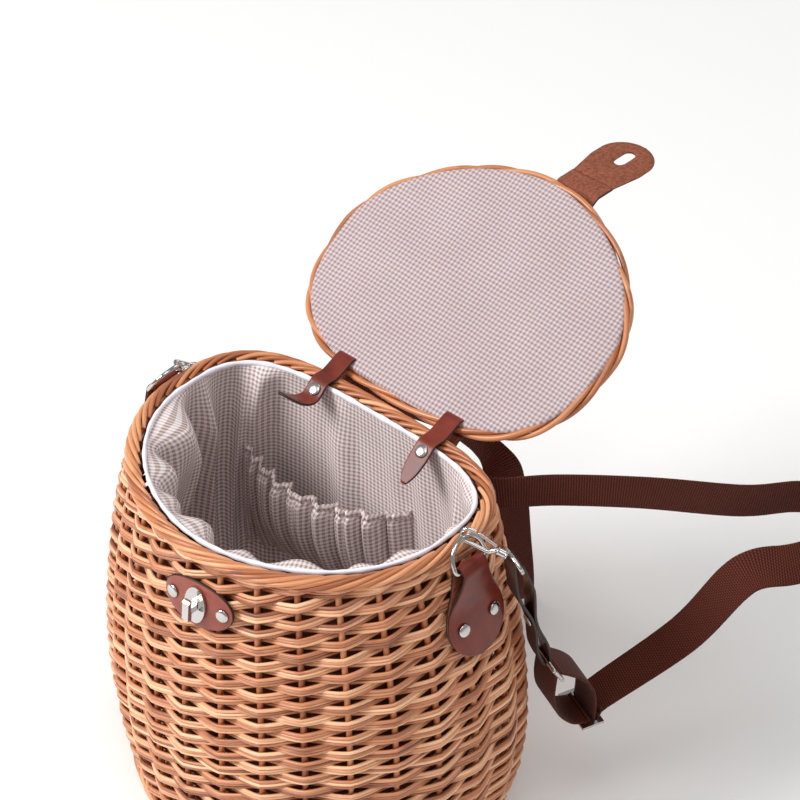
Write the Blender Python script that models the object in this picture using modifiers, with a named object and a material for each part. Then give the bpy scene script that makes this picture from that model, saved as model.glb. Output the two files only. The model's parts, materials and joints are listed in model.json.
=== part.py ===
"""Wicker pack basket: woven body and lid, gingham lining, turn lock, leather tabs and shoulder straps.

Metres, +Z up. The origin is on the floor under the mouth, +Y is the back, +X is the wearer's right.
The lid stands open, as it is stored, and rests on its straps.
"""

import math

import bmesh
import bpy
import numpy as np
from mathutils import Vector

# Body of the basket: the line of the lining's piping is the mouth, and the wall stands outside it.
MOUTH_HEIGHT = 0.300
MOUTH_HALF_WIDTH = 0.126
MOUTH_FRONT = 0.110
MOUTH_BACK = 0.073
FRONT_POWER = 1.9
BACK_POWER = 3.5
WALL_REACH = 0.012
WALL_THICKNESS = 0.007
SIDE_BULGE = 0.033
FRONT_BULGE = 0.015
BACK_BULGE = 0.008
BELLY_DEPTH = 0.190
LOWER_TUCK_SHARE = 2.1

# Gaps and steps used all over the model.
TOUCH_GAP = 0.0003
CUT_OVERRUN = 0.004
RING_STATIONS = 48
DENSE_STATIONS = 720

# Willow borders, base and foot.
BORDER_RADIUS = 0.0062
BORDER_CENTRE_REACH = 0.0088
BORDER_CENTRE_DROP = 0.0030
FOOT_HEIGHT = 0.012
FOOT_STAND_OUT = 0.002
BASE_THICKNESS = 0.008

# Cloth.
CLOTH_THICKNESS = 0.0012
PIPING_RADIUS = 0.0022
LINING_FOLLOW_SHARE = 0.75
POCKET_DROP = 0.081
POCKET_DEPTH = 0.106
POCKET_SAG = 0.036
POCKET_STATIONS = (22, 32)
ELASTIC_RADIUS = 0.0022

# Lid, given as it lies closed: along is from the hinge to the front, up is above the hinge.
LID_OPEN_ANGLE = math.radians(151)
HINGE_REACH = 0.015
HINGE_RISE = 0.0045
LID_HALF_WIDTH = 0.133
LID_FRONT_DEPTH = 0.1048
LID_BACK_DEPTH = 0.1068
LID_BACK_REACH = 0.001
LID_FRONT_POWER = 1.78
LID_BACK_POWER = 2.8
LID_ROD_RADIUS = 0.0055
LID_ROD_RISE = 0.0065
LID_PANEL_THICKNESS = 0.0065
LID_PAD_THICKNESS = 0.0022
LID_PAD_INSET = 0.0125

# Leather.
LEATHER = 0.0020
HINGE_STRAP_X = 0.0525
HINGE_STRAP_WIDTH = 0.015
HINGE_SLACK = 0.0012
HINGE_TAIL_LENGTH = 0.034
HINGE_TAIL_ANGLE = math.radians(39)
# The left tail's way beyond its rivet, inwards, downwards and aside, as shares of HINGE_TAIL_LENGTH.
LEFT_TAIL_SHARES = ((0.86, 0.02, 0.42), (0.68, 0.17, 0.21), (0.50, 0.25, 0.07), (0.30, 0.235, 0.0))
HINGE_RIVET_DROP = 0.0074
RIVET_RADIUS = 0.0050
RIVET_HEIGHT = 0.0016
TAB_Y = 0.0040
TAB_BAR_DROP = 0.0095
TAB_BAR_LIFT = 0.0100
TAB_FOLD_SHIFT = 0.0000
TAB_FOLD_WIDTH = 0.024
TAB_ROUND_RADIUS = 0.0270
TAB_LENGTH = 0.0735
TAB_RIVET_SPREAD = 0.0305
TAB_END_SHARES = (0.74, 0.84, 0.92, 0.97, 1.0)
BACK_PATCH_WIDTH = 0.074
BACK_PATCH_HEIGHT = 0.056
BACK_PATCH_DROP = 0.045

# Turn lock and the leather tongue that it holds.
LOCK_X = 0.014
LOCK_DROP = 0.039
LOCK_PLATE_WIDTH = 0.060
LOCK_PLATE_HEIGHT = 0.037
LOCK_RIVET_SPREAD = 0.0434
LOCK_BASE_WIDTH = 0.018
LOCK_BASE_HEIGHT = 0.030
LOCK_BASE_THICKNESS = 0.0020
LOCK_BACKING_SIZE = 0.022
TOGGLE_LENGTH = 0.017
TOGGLE_WIDTH = 0.0055
TOGGLE_WING = 0.0040
TONGUE_ROOT_WIDTH = 0.038
TONGUE_HEAD_WIDTH = 0.047
TONGUE_END = 0.022
TONGUE_DROOP = math.radians(31)
TONGUE_PATCH_LENGTH = 0.050
SLOT_CLEARANCE = 0.0018
TONGUE_STAND_OFF = 0.0022

# Metal of the straps.
RING_WIRE = 0.0017
RING_WIDTH = 0.031
RING_HEIGHT = 0.0215
# On the right the strap holds the ring up; on the left it leans in over the rim.
RING_LEANS = {1: math.radians(24), -1: math.radians(33)}
HOOK_WIRE = 0.0016
HOOK_OPENING = 0.0074
HOOK_SHIFT = 0.0006
HOOK_TIP = 0.0040
HOOK_TURNS = {1: math.radians(20), -1: math.radians(90)}
BARREL_RADIUS = 0.0032
BARREL_LENGTH = 0.0080
GATE_RADIUS = 0.0011
EYE_WIRE = 0.0015
EYE_SWIVEL = 0.0030
EYE_WIDTH = 0.0225
CONNECTOR_WIDTH = 0.0150
BUCKLE_WIRE = 0.0016

# The hook's barrel and the eye's bar on each side, from the middle of the D ring's bar: out, back and up.
BARREL_PLACES = {1: (0.0149, 0.0150, 0.0100), -1: (0.0045, 0.0360, -0.0100)}
EYE_PLACES = {1: (0.0179, 0.0242, -0.0018), -1: (0.0105, 0.0440, -0.0260)}
CHAIN_ACROSS = (0.930, -0.340, -0.110)
# Below the eye the chain lies in one plane: back and up from the eye's bar.
BUCKLE_NEAR_PLACE = (0.0337, -0.1162)
BUCKLE_FAR_PLACE = (0.0415, -0.1290)
SLIDER_PLACE = (0.0750, -0.1986)
# Half the distance between the two layers of the leather loop, at shares of its length.
CONNECTOR_REACH = (
    (0.12, 0.0045),
    (0.28, 0.0060),
    (0.42, 0.0036),
    (0.54, 0.0013),
    (0.66, 0.0013),
    (0.78, 0.0032),
    (0.88, 0.0042),
)
CONNECTOR_RIVET_SHARE = 0.60

# Webbing.
WEB_WIDTH = 0.029
WEB_THICKNESS = 0.0016
WEB_PLAY = 0.0010
TAIL_BULGE = 0.0120
SLIDER_THICKNESS = 0.0024
SLIDER_BAR = 0.0030
ROUTE_REACH = 0.100

COLOURS = {
    "willow": ((0.55, 0.27, 0.14), 0.55, 0.0),
    "gingham": ((0.60, 0.50, 0.50), 0.90, 0.0),
    "piping": ((0.85, 0.80, 0.84), 0.80, 0.0),
    "leather": ((0.19, 0.05, 0.03), 0.45, 0.0),
    "webbing": ((0.11, 0.025, 0.012), 0.80, 0.0),
    "nickel": ((0.75, 0.75, 0.76), 0.18, 1.0),
}


def clear_scene():
    for thing in list(bpy.data.objects):
        bpy.data.objects.remove(thing, do_unlink=True)


def collection(name):
    made = bpy.data.collections.new(name)
    bpy.context.scene.collection.children.link(made)
    return made


def material(name):
    found = bpy.data.materials.get(name)
    if found:
        return found
    colour, roughness, metallic = COLOURS[name]
    made = bpy.data.materials.new(name)
    made.use_nodes = True
    shader = made.node_tree.nodes["Principled BSDF"]
    shader.inputs["Base Color"].default_value = (*colour, 1)
    shader.inputs["Roughness"].default_value = roughness
    shader.inputs["Metallic"].default_value = metallic
    return made


def add_object(name, data, look, into):
    data.materials.append(material(look))
    made = bpy.data.objects.new(name, data)
    into.objects.link(made)
    return made


def unit(vector):
    return np.asarray(vector, float) / np.linalg.norm(vector)


def set_origin(thing, point):
    """Moves the origin of a piece to its joint's axis and leaves its shape in place."""
    shift = Vector(point) - thing.location
    thing.data.transform(thing.matrix_world.inverted() @ _translation(-shift) @ thing.matrix_world)
    thing.location = Vector(point)


def _translation(vector):
    from mathutils import Matrix

    return Matrix.Translation(vector)


def mesh_object(name, bm, look, into, smooth_angle=40):
    bmesh.ops.recalc_face_normals(bm, faces=bm.faces)
    data = bpy.data.meshes.new(name)
    bm.to_mesh(data)
    bm.free()
    data.shade_smooth()
    data.set_sharp_from_angle(angle=math.radians(smooth_angle))
    return add_object(name, data, look, into)


def loft(name, rings, look, into, closed=False, capped=True):
    """Joins rings of points, each a list of the same length, into a skin."""
    bm = bmesh.new()
    rows = [[bm.verts.new(point) for point in ring] for ring in rings]
    size = len(rows[0])
    pairs = list(zip(rows[:-1], rows[1:]))
    if closed:
        pairs.append((rows[-1], rows[0]))
    for low, high in pairs:
        for i in range(size):
            j = (i + 1) % size
            bm.faces.new((low[i], low[j], high[j], high[i]))
    if capped and not closed:
        bm.faces.new(rows[0])
        bm.faces.new(rows[-1])
    return mesh_object(name, bm, look, into)


def wire(name, points, radius, look, into, cyclic=False, scale=None, sides=2):
    """A round bar along points; scale gives each point's share of the radius."""
    data = bpy.data.curves.new(name, "CURVE")
    data.dimensions = "3D"
    data.bevel_depth = radius
    data.bevel_resolution = sides
    data.use_fill_caps = not cyclic
    spline = data.splines.new("POLY")
    spline.points.add(len(points) - 1)
    for i, (target, point) in enumerate(zip(spline.points, points)):
        target.co = (*point, 1)
        target.radius = scale[i] if scale else 1
    spline.use_cyclic_u = cyclic
    return add_object(name, data, look, into)


def oval(half_width, front, back, front_power, back_power):
    """Points of a plan from the front middle round by +X, dense and evenly spaced."""
    turn = np.linspace(-math.pi / 2, 1.5 * math.pi, 4 * DENSE_STATIONS + 1)
    power = np.where(np.sin(turn) >= 0, back_power, front_power)
    depth = np.where(np.sin(turn) >= 0, back, front)
    x = half_width * np.sign(np.cos(turn)) * np.abs(np.cos(turn)) ** (2 / power)
    y = depth * np.sign(np.sin(turn)) * np.abs(np.sin(turn)) ** (2 / power)
    way = np.r_[0, np.cumsum(np.hypot(np.diff(x), np.diff(y)))]
    even = np.linspace(0, way[-1], DENSE_STATIONS + 1)
    return np.interp(even, way, x), np.interp(even, way, y), way[-1]


def belly_share(z):
    """How much of the bulge the wall has at height z."""
    way = (MOUTH_HEIGHT - z - BELLY_DEPTH) / BELLY_DEPTH
    return 1 - way * way * (LOWER_TUCK_SHARE if way > 0 else 1)


def wall_oval(z):
    g = belly_share(min(z, MOUTH_HEIGHT))
    return oval(
        MOUTH_HALF_WIDTH + WALL_REACH + SIDE_BULGE * g,
        MOUTH_FRONT + WALL_REACH + FRONT_BULGE * g,
        MOUTH_BACK + WALL_REACH + BACK_BULGE * g,
        FRONT_POWER,
        BACK_POWER,
    )


def lining_oval(z):
    g = belly_share(min(z, MOUTH_HEIGHT)) * LINING_FOLLOW_SHARE
    return oval(
        MOUTH_HALF_WIDTH + SIDE_BULGE * g,
        MOUTH_FRONT + FRONT_BULGE * g,
        MOUTH_BACK + BACK_BULGE * g,
        FRONT_POWER,
        BACK_POWER,
    )


def mouth_oval():
    return oval(MOUTH_HALF_WIDTH, MOUTH_FRONT, MOUTH_BACK, FRONT_POWER, BACK_POWER)


def on_oval(shape, share, along=0.0, lift=0.0):
    """The point at a share of the way round an oval, its outward normal and its tangent."""
    x, y, length = shape
    way = (share + along / length) % 1.0 * DENSE_STATIONS
    stations = np.arange(DENSE_STATIONS + 1)
    point = np.array([np.interp(way, stations, x), np.interp(way, stations, y)])
    before, after = (way - 1) % DENSE_STATIONS, (way + 1) % DENSE_STATIONS
    tangent = unit(
        [
            np.interp(after, stations, x) - np.interp(before, stations, x),
            np.interp(after, stations, y) - np.interp(before, stations, y),
        ]
    )
    normal = np.array([tangent[1], -tangent[0]])
    return point + normal * lift, normal, tangent


def oval_ring(shape, z, lift=0.0, count=RING_STATIONS):
    return [(*on_oval(shape, i / count, lift=lift)[0], z) for i in range(count)]


def wall_point(share, along, z, lift):
    return np.array([*on_oval(wall_oval(z), share, along, lift)[0], z])


def share_at(shape, x=None, y=None, side=1):
    """The share of the way round where an oval passes a given x at the front, or y at a side."""
    xs, ys, _ = shape
    if y is not None:
        near = np.where(np.sign(xs) == side, np.abs(ys - y), np.inf)
    else:
        near = np.where(np.sign(ys) == -side, np.abs(xs - x), np.inf)
    return float(np.argmin(near)) / DENSE_STATIONS


def depth_at(shape, x, lift=0.0, back=True):
    """How far back, or forward, an oval lies at a given x."""
    middle = 0.5 if back else 0.0
    points = [on_oval(shape, middle + step, lift=lift)[0] for step in np.linspace(-0.12, 0.12, 49)]
    points = sorted(points, key=lambda point: point[0])
    return float(np.interp(x, [p[0] for p in points], [p[1] for p in points]))


def smooth_path(points, steps):
    """A Catmull-Rom curve through points, with steps pieces to a span."""
    points = np.asarray(points, float)
    ends = np.vstack([2 * points[0] - points[1], points, 2 * points[-1] - points[-2]])
    made = []
    for a, b, c, d in zip(ends[:-3], ends[1:-2], ends[2:-1], ends[3:]):
        for t in np.arange(steps) / steps:
            part = 2 * b + (c - a) * t + (2 * a - 5 * b + 4 * c - d) * t * t
            made.append((part + (3 * b - a - 3 * c + d) * t**3) / 2)
    made.append(points[-1])
    return np.array(made)


def band(name, path, across, width, thickness, look, into, closed=False):
    """A flat strip along a path; across is the direction of its width at each point."""
    path = np.asarray(path, float)
    across = np.broadcast_to(np.asarray(across, float), path.shape)
    width = np.broadcast_to(width, len(path))
    rings = []
    for i, point in enumerate(path):
        if closed:
            ahead = path[(i + 1) % len(path)] - path[i - 1]
        else:
            ahead = path[min(i + 1, len(path) - 1)] - path[max(i - 1, 0)]
        face = unit(np.cross(unit(ahead), across[i]))
        side = np.cross(face, unit(ahead)) * width[i] / 2
        face = face * thickness / 2
        rings.append([point + side + face, point - side + face, point - side - face, point + side - face])
    return loft(name, rings, look, into, closed=closed)


def layered_loop(start, end, across, start_radius, end_radius, reach):
    """A closed path round bars at start and end; reach gives half the distance of its two layers."""
    along = unit(end - start)
    face = unit(np.cross(across, along))
    ways = [way for way, _ in reach]
    path = []
    for side in (1, -1):
        for way in ways[::side]:
            apart = dict(reach)[way]
            path.append(start + (end - start) * way + face * side * apart)
        centre, radius = (end, end_radius) if side > 0 else (start, start_radius)
        for turn in np.linspace(0, math.pi, 7):
            out = face * side * math.cos(turn) + along * side * math.sin(turn)
            path.append(centre + out * radius)
    return path


def oval_plate(name, place, half_width, half_height, thickness, look, into, power=2.0, rings=4, count=24):
    """A plate that follows a surface; place(a, b, lift) gives a point of that surface."""
    sections = [(0, share) for share in np.linspace(1 / rings, 1, rings)]
    sections += [(thickness, share) for share in np.linspace(1, 1 / rings, rings)]
    turns = np.arange(count) * 2 * math.pi / count
    bm = bmesh.new()
    rows = []
    for lift, share in sections:
        row = []
        for turn in turns:
            c, s = math.cos(turn), math.sin(turn)
            a = share * half_width * math.copysign(abs(c) ** (2 / power), c)
            b = share * half_height * math.copysign(abs(s) ** (2 / power), s)
            row.append(bm.verts.new(place(a, b, lift)))
        rows.append(row)
    for low, high in zip(rows[:-1], rows[1:]):
        for i in range(count):
            j = (i + 1) % count
            bm.faces.new((low[i], low[j], high[j], high[i]))
    for row, lift in ((rows[0], 0), (rows[-1], thickness)):
        middle = bm.verts.new(place(0, 0, lift))
        for i in range(count):
            bm.faces.new((row[i], row[(i + 1) % count], middle))
    return mesh_object(name, bm, look, into)


def rivet(name, point, normal, into, gap=TOUCH_GAP):
    bm = bmesh.new()
    bmesh.ops.create_cone(
        bm,
        cap_ends=True,
        segments=14,
        radius1=RIVET_RADIUS,
        radius2=RIVET_RADIUS * 2 / 3,
        depth=RIVET_HEIGHT,
    )
    made = mesh_object(name, bm, "nickel", into)
    normal = unit(normal)
    made.location = Vector(np.asarray(point) + normal * (gap + RIVET_HEIGHT / 2))
    made.rotation_euler = Vector(normal).to_track_quat("Z", "Y").to_euler()
    return made


def box_cutter(name, low, high, into):
    bm = bmesh.new()
    bmesh.ops.create_cube(bm, size=1)
    for vert in bm.verts:
        for i in range(3):
            vert.co[i] = low[i] if vert.co[i] < 0 else high[i]
    made = mesh_object(name, bm, "willow", into)
    made.hide_render = True
    made.display_type = "WIRE"
    return made


def cut(thing, cutter):
    modifier = thing.modifiers.new(f"cut by {cutter.name}", "BOOLEAN")
    modifier.operation = "DIFFERENCE"
    modifier.object = cutter


def thicken(thing, thickness, inward=True):
    modifier = thing.modifiers.new("thickness", "SOLIDIFY")
    modifier.thickness = thickness
    modifier.offset = -1 if inward else 1


def open_skin(name, rings, look, into, floor=False):
    """A tube of rings from the bottom up, open above, with a floor if asked, its faces pointing out."""
    bm = bmesh.new()
    rows = [[bm.verts.new(point) for point in ring] for ring in rings]
    size = len(rows[0])
    for low, high in zip(rows[:-1], rows[1:]):
        for i in range(size):
            j = (i + 1) % size
            bm.faces.new((low[i], low[j], high[j], high[i]))
    if floor:
        bm.faces.new(rows[0][::-1])
    data = bpy.data.meshes.new(name)
    bm.to_mesh(data)
    bm.free()
    data.shade_smooth()
    return add_object(name, data, look, into)


def border_bottom():
    return MOUTH_HEIGHT - BORDER_CENTRE_DROP - BORDER_RADIUS


def wall_top():
    return border_bottom() - TOUCH_GAP


def build_wall(parts, cutters):
    low, high = FOOT_HEIGHT + TOUCH_GAP, wall_top()
    heights = np.linspace(low, high, 11)
    wall = open_skin("basket_wall", [oval_ring(wall_oval(z), z) for z in heights], "willow", parts)
    thicken(wall, WALL_THICKNESS)
    back = MOUTH_BACK + WALL_REACH
    for side in (-1, 1):
        half = HINGE_STRAP_WIDTH / 2 + TOUCH_GAP
        notch = box_cutter(
            f"hinge_notch_{side}",
            (side * HINGE_STRAP_X - half, back - WALL_THICKNESS - CUT_OVERRUN, high - LEATHER - 2 * TOUCH_GAP),
            (side * HINGE_STRAP_X + half, back + CUT_OVERRUN, high + CUT_OVERRUN),
            cutters,
        )
        cut(wall, notch)


def build_base(parts):
    low = wall_oval(FOOT_HEIGHT)
    inside = WALL_THICKNESS + TOUCH_GAP
    rings = [oval_ring(low, z, -inside) for z in (0, BASE_THICKNESS)]
    loft("basket_base", rings, "willow", parts)
    foot = []
    for lift, z in (
        (FOOT_STAND_OUT, 0),
        (FOOT_STAND_OUT, FOOT_HEIGHT),
        (-WALL_THICKNESS, FOOT_HEIGHT),
        (-WALL_THICKNESS, 0),
    ):
        foot.append(oval_ring(low, z, lift))
    loft("foot_border", foot, "willow", parts, closed=True)


def build_rim(parts):
    mouth = mouth_oval()
    centre = MOUTH_HEIGHT - BORDER_CENTRE_DROP
    rings = []
    for turn in np.arange(8) * math.pi / 4 + math.pi / 8:
        reach = BORDER_CENTRE_REACH + BORDER_RADIUS * math.cos(turn)
        rings.append(oval_ring(mouth, centre + BORDER_RADIUS * math.sin(turn), reach))
    loft("rim_border", rings, "willow", parts, closed=True)


def build_lining(parts):
    top = MOUTH_HEIGHT - PIPING_RADIUS - TOUCH_GAP
    bottom = BASE_THICKNESS + TOUCH_GAP
    heights = [bottom, bottom + WALL_THICKNESS, *np.linspace(bottom + 4 * WALL_THICKNESS, top, 8)]
    rings = [oval_ring(lining_oval(z), z) for z in heights]
    rings[0] = oval_ring(lining_oval(bottom), bottom, -WALL_THICKNESS)
    bag = open_skin("lining_bag", rings, "gingham", parts, floor=True)
    thicken(bag, CLOTH_THICKNESS)
    ring = oval_ring(mouth_oval(), MOUTH_HEIGHT, count=2 * RING_STATIONS)
    wire("lining_piping", ring, PIPING_RADIUS, "piping", parts, cyclic=True)


def pocket_point(t, drop, inside):
    """A point of the pocket's cloth: t runs along its mouth, drop is down from the mouth plane."""
    z = MOUTH_HEIGHT - drop
    first, last = POCKET_STATIONS
    share = (first + (last - first) * t) / RING_STATIONS
    way = (drop - POCKET_DROP) / POCKET_DEPTH
    sag = POCKET_SAG * math.sin(math.pi * t) ** 0.8 * (1 - way * way)
    lift = -(CLOTH_THICKNESS + 2 * TOUCH_GAP + inside + sag)
    return np.array([*on_oval(lining_oval(z), share, lift=lift)[0], z])


def pocket_ways():
    return np.linspace(0, 1, POCKET_STATIONS[1] - POCKET_STATIONS[0] + 1)


def build_pocket(parts):
    rings = []
    drops = np.linspace(0, POCKET_DEPTH, 6)
    for t in pocket_ways():
        outer = [pocket_point(t, POCKET_DROP + d, 0) for d in drops]
        inner = [pocket_point(t, POCKET_DROP + d, CLOTH_THICKNESS) for d in drops[::-1]]
        rings.append(outer + inner)
    loft("lining_pocket", rings, "gingham", parts)
    drop = POCKET_DROP - ELASTIC_RADIUS - TOUCH_GAP
    inside = ELASTIC_RADIUS
    line = [pocket_point(t, drop, inside) for t in pocket_ways()]
    wire("pocket_elastic", line, ELASTIC_RADIUS, "gingham", parts)


def hinge_axis():
    return np.array([0, MOUTH_BACK + HINGE_REACH, MOUTH_HEIGHT + HINGE_RISE])


def lid_point(x, along, up, angle=LID_OPEN_ANGLE):
    """A point of the lid turned open by angle, from its place in the closed lid."""
    ahead = np.array([0, -math.cos(angle), math.sin(angle)])
    rise = np.array([0, math.sin(angle), math.cos(angle)])
    return hinge_axis() + np.array([x, 0, 0]) + ahead * along + rise * up


def lid_length():
    return LID_FRONT_DEPTH + LID_BACK_DEPTH - LID_BACK_REACH


def lid_oval():
    return oval(LID_HALF_WIDTH, LID_FRONT_DEPTH, LID_BACK_DEPTH, LID_FRONT_POWER, LID_BACK_POWER)


def lid_ring(inset, up, count=RING_STATIONS):
    middle = LID_BACK_DEPTH - LID_BACK_REACH
    ring = []
    for i in range(count):
        x, y = on_oval(lid_oval(), i / count, lift=-inset)[0]
        ring.append(lid_point(x, middle - y, up))
    return ring


def lid_cutter(name, x, half_width, along, up, into):
    """A box in the lid's own directions, as a loft."""
    rings = []
    for reach in along:
        rings.append([lid_point(x + a, reach, b) for a, b in (
            (-half_width, up[0]),
            (half_width, up[0]),
            (half_width, up[1]),
            (-half_width, up[1]),
        )])
    made = loft(name, rings, "willow", into)
    made.hide_render = True
    made.display_type = "WIRE"
    return made


def build_lid(parts, cutters):
    ring = lid_ring(LID_ROD_RADIUS, LID_ROD_RISE, 2 * RING_STATIONS)
    wire("lid_border", ring, LID_ROD_RADIUS, "willow", parts, cyclic=True)
    inset = 2 * LID_ROD_RADIUS + TOUCH_GAP
    low = LID_ROD_RISE - LID_PANEL_THICKNESS / 2
    high = LID_ROD_RISE + LID_PANEL_THICKNESS / 2
    panel = loft("lid_panel", [lid_ring(inset, low), lid_ring(inset, high)], "willow", parts)
    pad_top = low - TOUCH_GAP
    pad_low = pad_top - LID_PAD_THICKNESS
    pad = loft(
        "lid_lining",
        [lid_ring(LID_PAD_INSET, pad_low), lid_ring(LID_PAD_INSET, pad_top)],
        "gingham",
        parts,
    )
    rod_end = LID_BACK_DEPTH - LID_BACK_REACH - depth_at(lid_oval(), HINGE_STRAP_X, -2 * LID_ROD_RADIUS)
    for side in (-1, 1):
        cutter = lid_cutter(
            f"lid_notch_{side}",
            side * HINGE_STRAP_X,
            HINGE_STRAP_WIDTH / 2 + TOUCH_GAP,
            (rod_end - CUT_OVERRUN, rod_end + LEATHER + 2 * HINGE_SLACK),
            (pad_low - CUT_OVERRUN, high + CUT_OVERRUN),
            cutters,
        )
        cut(panel, cutter)
        cut(pad, cutter)


def hinge_strap_path(side):
    """The leather's middle line from the tail inside over both borders and back in."""
    x = HINGE_STRAP_X
    lift = LEATHER / 2 + TOUCH_GAP
    mouth = depth_at(mouth_oval(), x)
    rim = np.array([depth_at(mouth_oval(), x, BORDER_CENTRE_REACH), MOUTH_HEIGHT - BORDER_CENTRE_DROP])
    rod_depth = depth_at(lid_oval(), x, -LID_ROD_RADIUS)
    rod = lid_point(x, LID_BACK_DEPTH - LID_BACK_REACH - rod_depth, LID_ROD_RISE)[1:]
    over = max(MOUTH_HEIGHT + PIPING_RADIUS, rim[1] + BORDER_RADIUS) + lift
    start = np.array([mouth - PIPING_RADIUS, over])
    path = [start, np.array([(mouth + rim[0]) / 2, over]), np.array([rim[0], over])]
    reach = LID_ROD_RADIUS + lift + HINGE_SLACK
    for turn in np.radians(np.linspace(120, -100, 12)):
        path.append(rod + reach * np.array([math.cos(turn), math.sin(turn)]))
    under = wall_top() - LEATHER / 2 - TOUCH_GAP / 2
    wall = depth_at(wall_oval(under), x)
    path += [np.array([max(wall, rim[0]) + BORDER_RADIUS / 2, under]), np.array([wall - WALL_THICKNESS, under])]
    widest = depth_at(mouth_oval(), x - HINGE_STRAP_WIDTH / 2)
    path += [np.array([widest + LEATHER / 2 + TOUCH_GAP, under])]
    return hinge_tail(side, start) + [np.array([side * x, y, z]) for y, z in path]


def hinge_tail(side, start):
    """The tail's points from its tip to just before the strap's bend at start."""
    c, s = math.cos(HINGE_TAIL_ANGLE), math.sin(HINGE_TAIL_ANGLE)
    straight = [(c * t, s * t, 0) for t in (1, 0.75, 0.5, 0.25)]
    tail = []
    for inwards, down, aside in straight if side > 0 else LEFT_TAIL_SHARES:
        place = np.array([side * aside, -inwards, -down]) * HINGE_TAIL_LENGTH
        tail.append(np.array([side * HINGE_STRAP_X, *start]) + place)
    return tail


def build_hinges(parts):
    for side, word in ((-1, "left"), (1, "right")):
        line = hinge_strap_path(side)
        width = [HINGE_STRAP_WIDTH * share for share in (0.25, 0.8, 1)] + [HINGE_STRAP_WIDTH] * (len(line) - 3)
        band(f"hinge_strap_{word}", line, (1, 0, 0), width, LEATHER, "leather", parts)
        fall = unit(line[3] - line[4])
        face = np.array([0, fall[2], -fall[1]])
        seat = line[4] + fall * HINGE_RIVET_DROP + face * LEATHER / 2
        rivet(f"hinge_rivet_{word}", seat, face, parts)


def tab_share(side):
    return share_at(wall_oval(MOUTH_HEIGHT - TAB_BAR_DROP), y=TAB_Y, side=side)


def tab_frame(side):
    """The D ring's bar on one side: its middle, its direction and the outward normal."""
    z = MOUTH_HEIGHT - TAB_BAR_DROP
    point, normal, tangent = on_oval(wall_oval(z), tab_share(side), lift=TAB_BAR_LIFT)
    return np.array([*point, z]), np.array([*tangent, 0]), np.array([*normal, 0])


def tab_line():
    """Lift and drop of the tab's leather, from its back end up round the bar and down the front."""
    around = RING_WIRE + TOUCH_GAP + LEATHER / 2
    back = TOUCH_GAP + LEATHER / 2
    front = back + LEATHER + TOUCH_GAP
    bottom = TAB_BAR_DROP + TAB_LENGTH
    line = [(back, TAB_BAR_DROP + TAB_LENGTH * share) for share in (*TAB_END_SHARES[::-1], 0.62, 0.45, 0.3)]
    line.append((back + 2 * TOUCH_GAP, TAB_BAR_DROP + 2.2 * around))
    for turn in np.radians(np.linspace(180, 0, 9)):
        line.append((TAB_BAR_LIFT + around * math.cos(turn), TAB_BAR_DROP - around * math.sin(turn)))
    line.append((TAB_BAR_LIFT + around, TAB_BAR_DROP + 1.5 * around))
    line += [(front + LEATHER, TAB_BAR_DROP + TAB_LENGTH * 0.34)]
    line += [(front, TAB_BAR_DROP + TAB_LENGTH * share) for share in (0.5, 0.62, *TAB_END_SHARES)]
    return np.array(line), bottom


def tab_half_width(drop, bottom):
    """Half the teardrop's width at a drop below the mouth."""
    middle = bottom - TAB_ROUND_RADIUS
    if drop > middle:
        inside = TAB_ROUND_RADIUS**2 - (drop - middle) ** 2
        return math.sqrt(max(inside, (TAB_ROUND_RADIUS / 3) ** 2))
    way = max(0.0, (drop - TAB_BAR_DROP) / (middle - TAB_BAR_DROP))
    ease = way * way * (3 - 2 * way)
    return TAB_FOLD_WIDTH / 2 + (TAB_ROUND_RADIUS - TAB_FOLD_WIDTH / 2) * ease


def tab_shift(side, drop, bottom):
    """How far back the tab's leather stands at a drop: the fold is beside the middle of the round end."""
    way = (tab_half_width(drop, bottom) - TAB_FOLD_WIDTH / 2) / (TAB_ROUND_RADIUS - TAB_FOLD_WIDTH / 2)
    return side * TAB_FOLD_SHIFT * (1 - way) if drop < bottom - TAB_ROUND_RADIUS else 0.0


def tab_place(side, along, drop, lift):
    """A point over the wall, which runs straight near the bar and follows the wall below it."""
    z = MOUTH_HEIGHT - drop
    share = tab_share(side)
    middle, normal, tangent = on_oval(wall_oval(z), share)
    flat = middle + tangent * along + normal * lift
    bent = on_oval(wall_oval(z), share, along, lift)[0]
    way = min(1.0, max(0.0, (drop - TAB_BAR_DROP - RING_WIRE) / (TAB_LENGTH / 3)))
    return np.array([*(flat * (1 - way) + bent * way), z])


def build_tab(side, word, parts):
    line, bottom = tab_line()
    rings = []
    for i, (lift, drop) in enumerate(line):
        ahead = unit(line[min(i + 1, len(line) - 1)] - line[max(i - 1, 0)])
        face = np.array([-ahead[1], ahead[0]]) * LEATHER / 2
        half, shift = tab_half_width(drop, bottom), tab_shift(side, drop, bottom)
        ways = [shift + a * half for a in (-1, -0.5, 0, 0.5, 1)]
        ring = [tab_place(side, way, drop + face[1], lift + face[0]) for way in ways]
        ring += [tab_place(side, way, drop - face[1], lift - face[0]) for way in ways[::-1]]
        rings.append(ring)
    loft(f"side_tab_{word}", rings, "leather", parts)
    front = 2 * (TOUCH_GAP + LEATHER)
    drop = bottom - TAB_ROUND_RADIUS
    for number, way in ((1, -1), (2, 1)):
        along = way * TAB_RIVET_SPREAD / 2
        seat = tab_place(side, along, drop, front)
        out = tab_place(side, along, drop, front + LEATHER) - seat
        slope = tab_place(side, along, drop + LEATHER, front) - tab_place(side, along, drop - LEATHER, front)
        normal = out - slope * np.dot(out, slope) / np.dot(slope, slope)
        rivet(f"side_rivet_{word}_{number}", seat, normal, parts, gap=3 * TOUCH_GAP)


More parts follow.
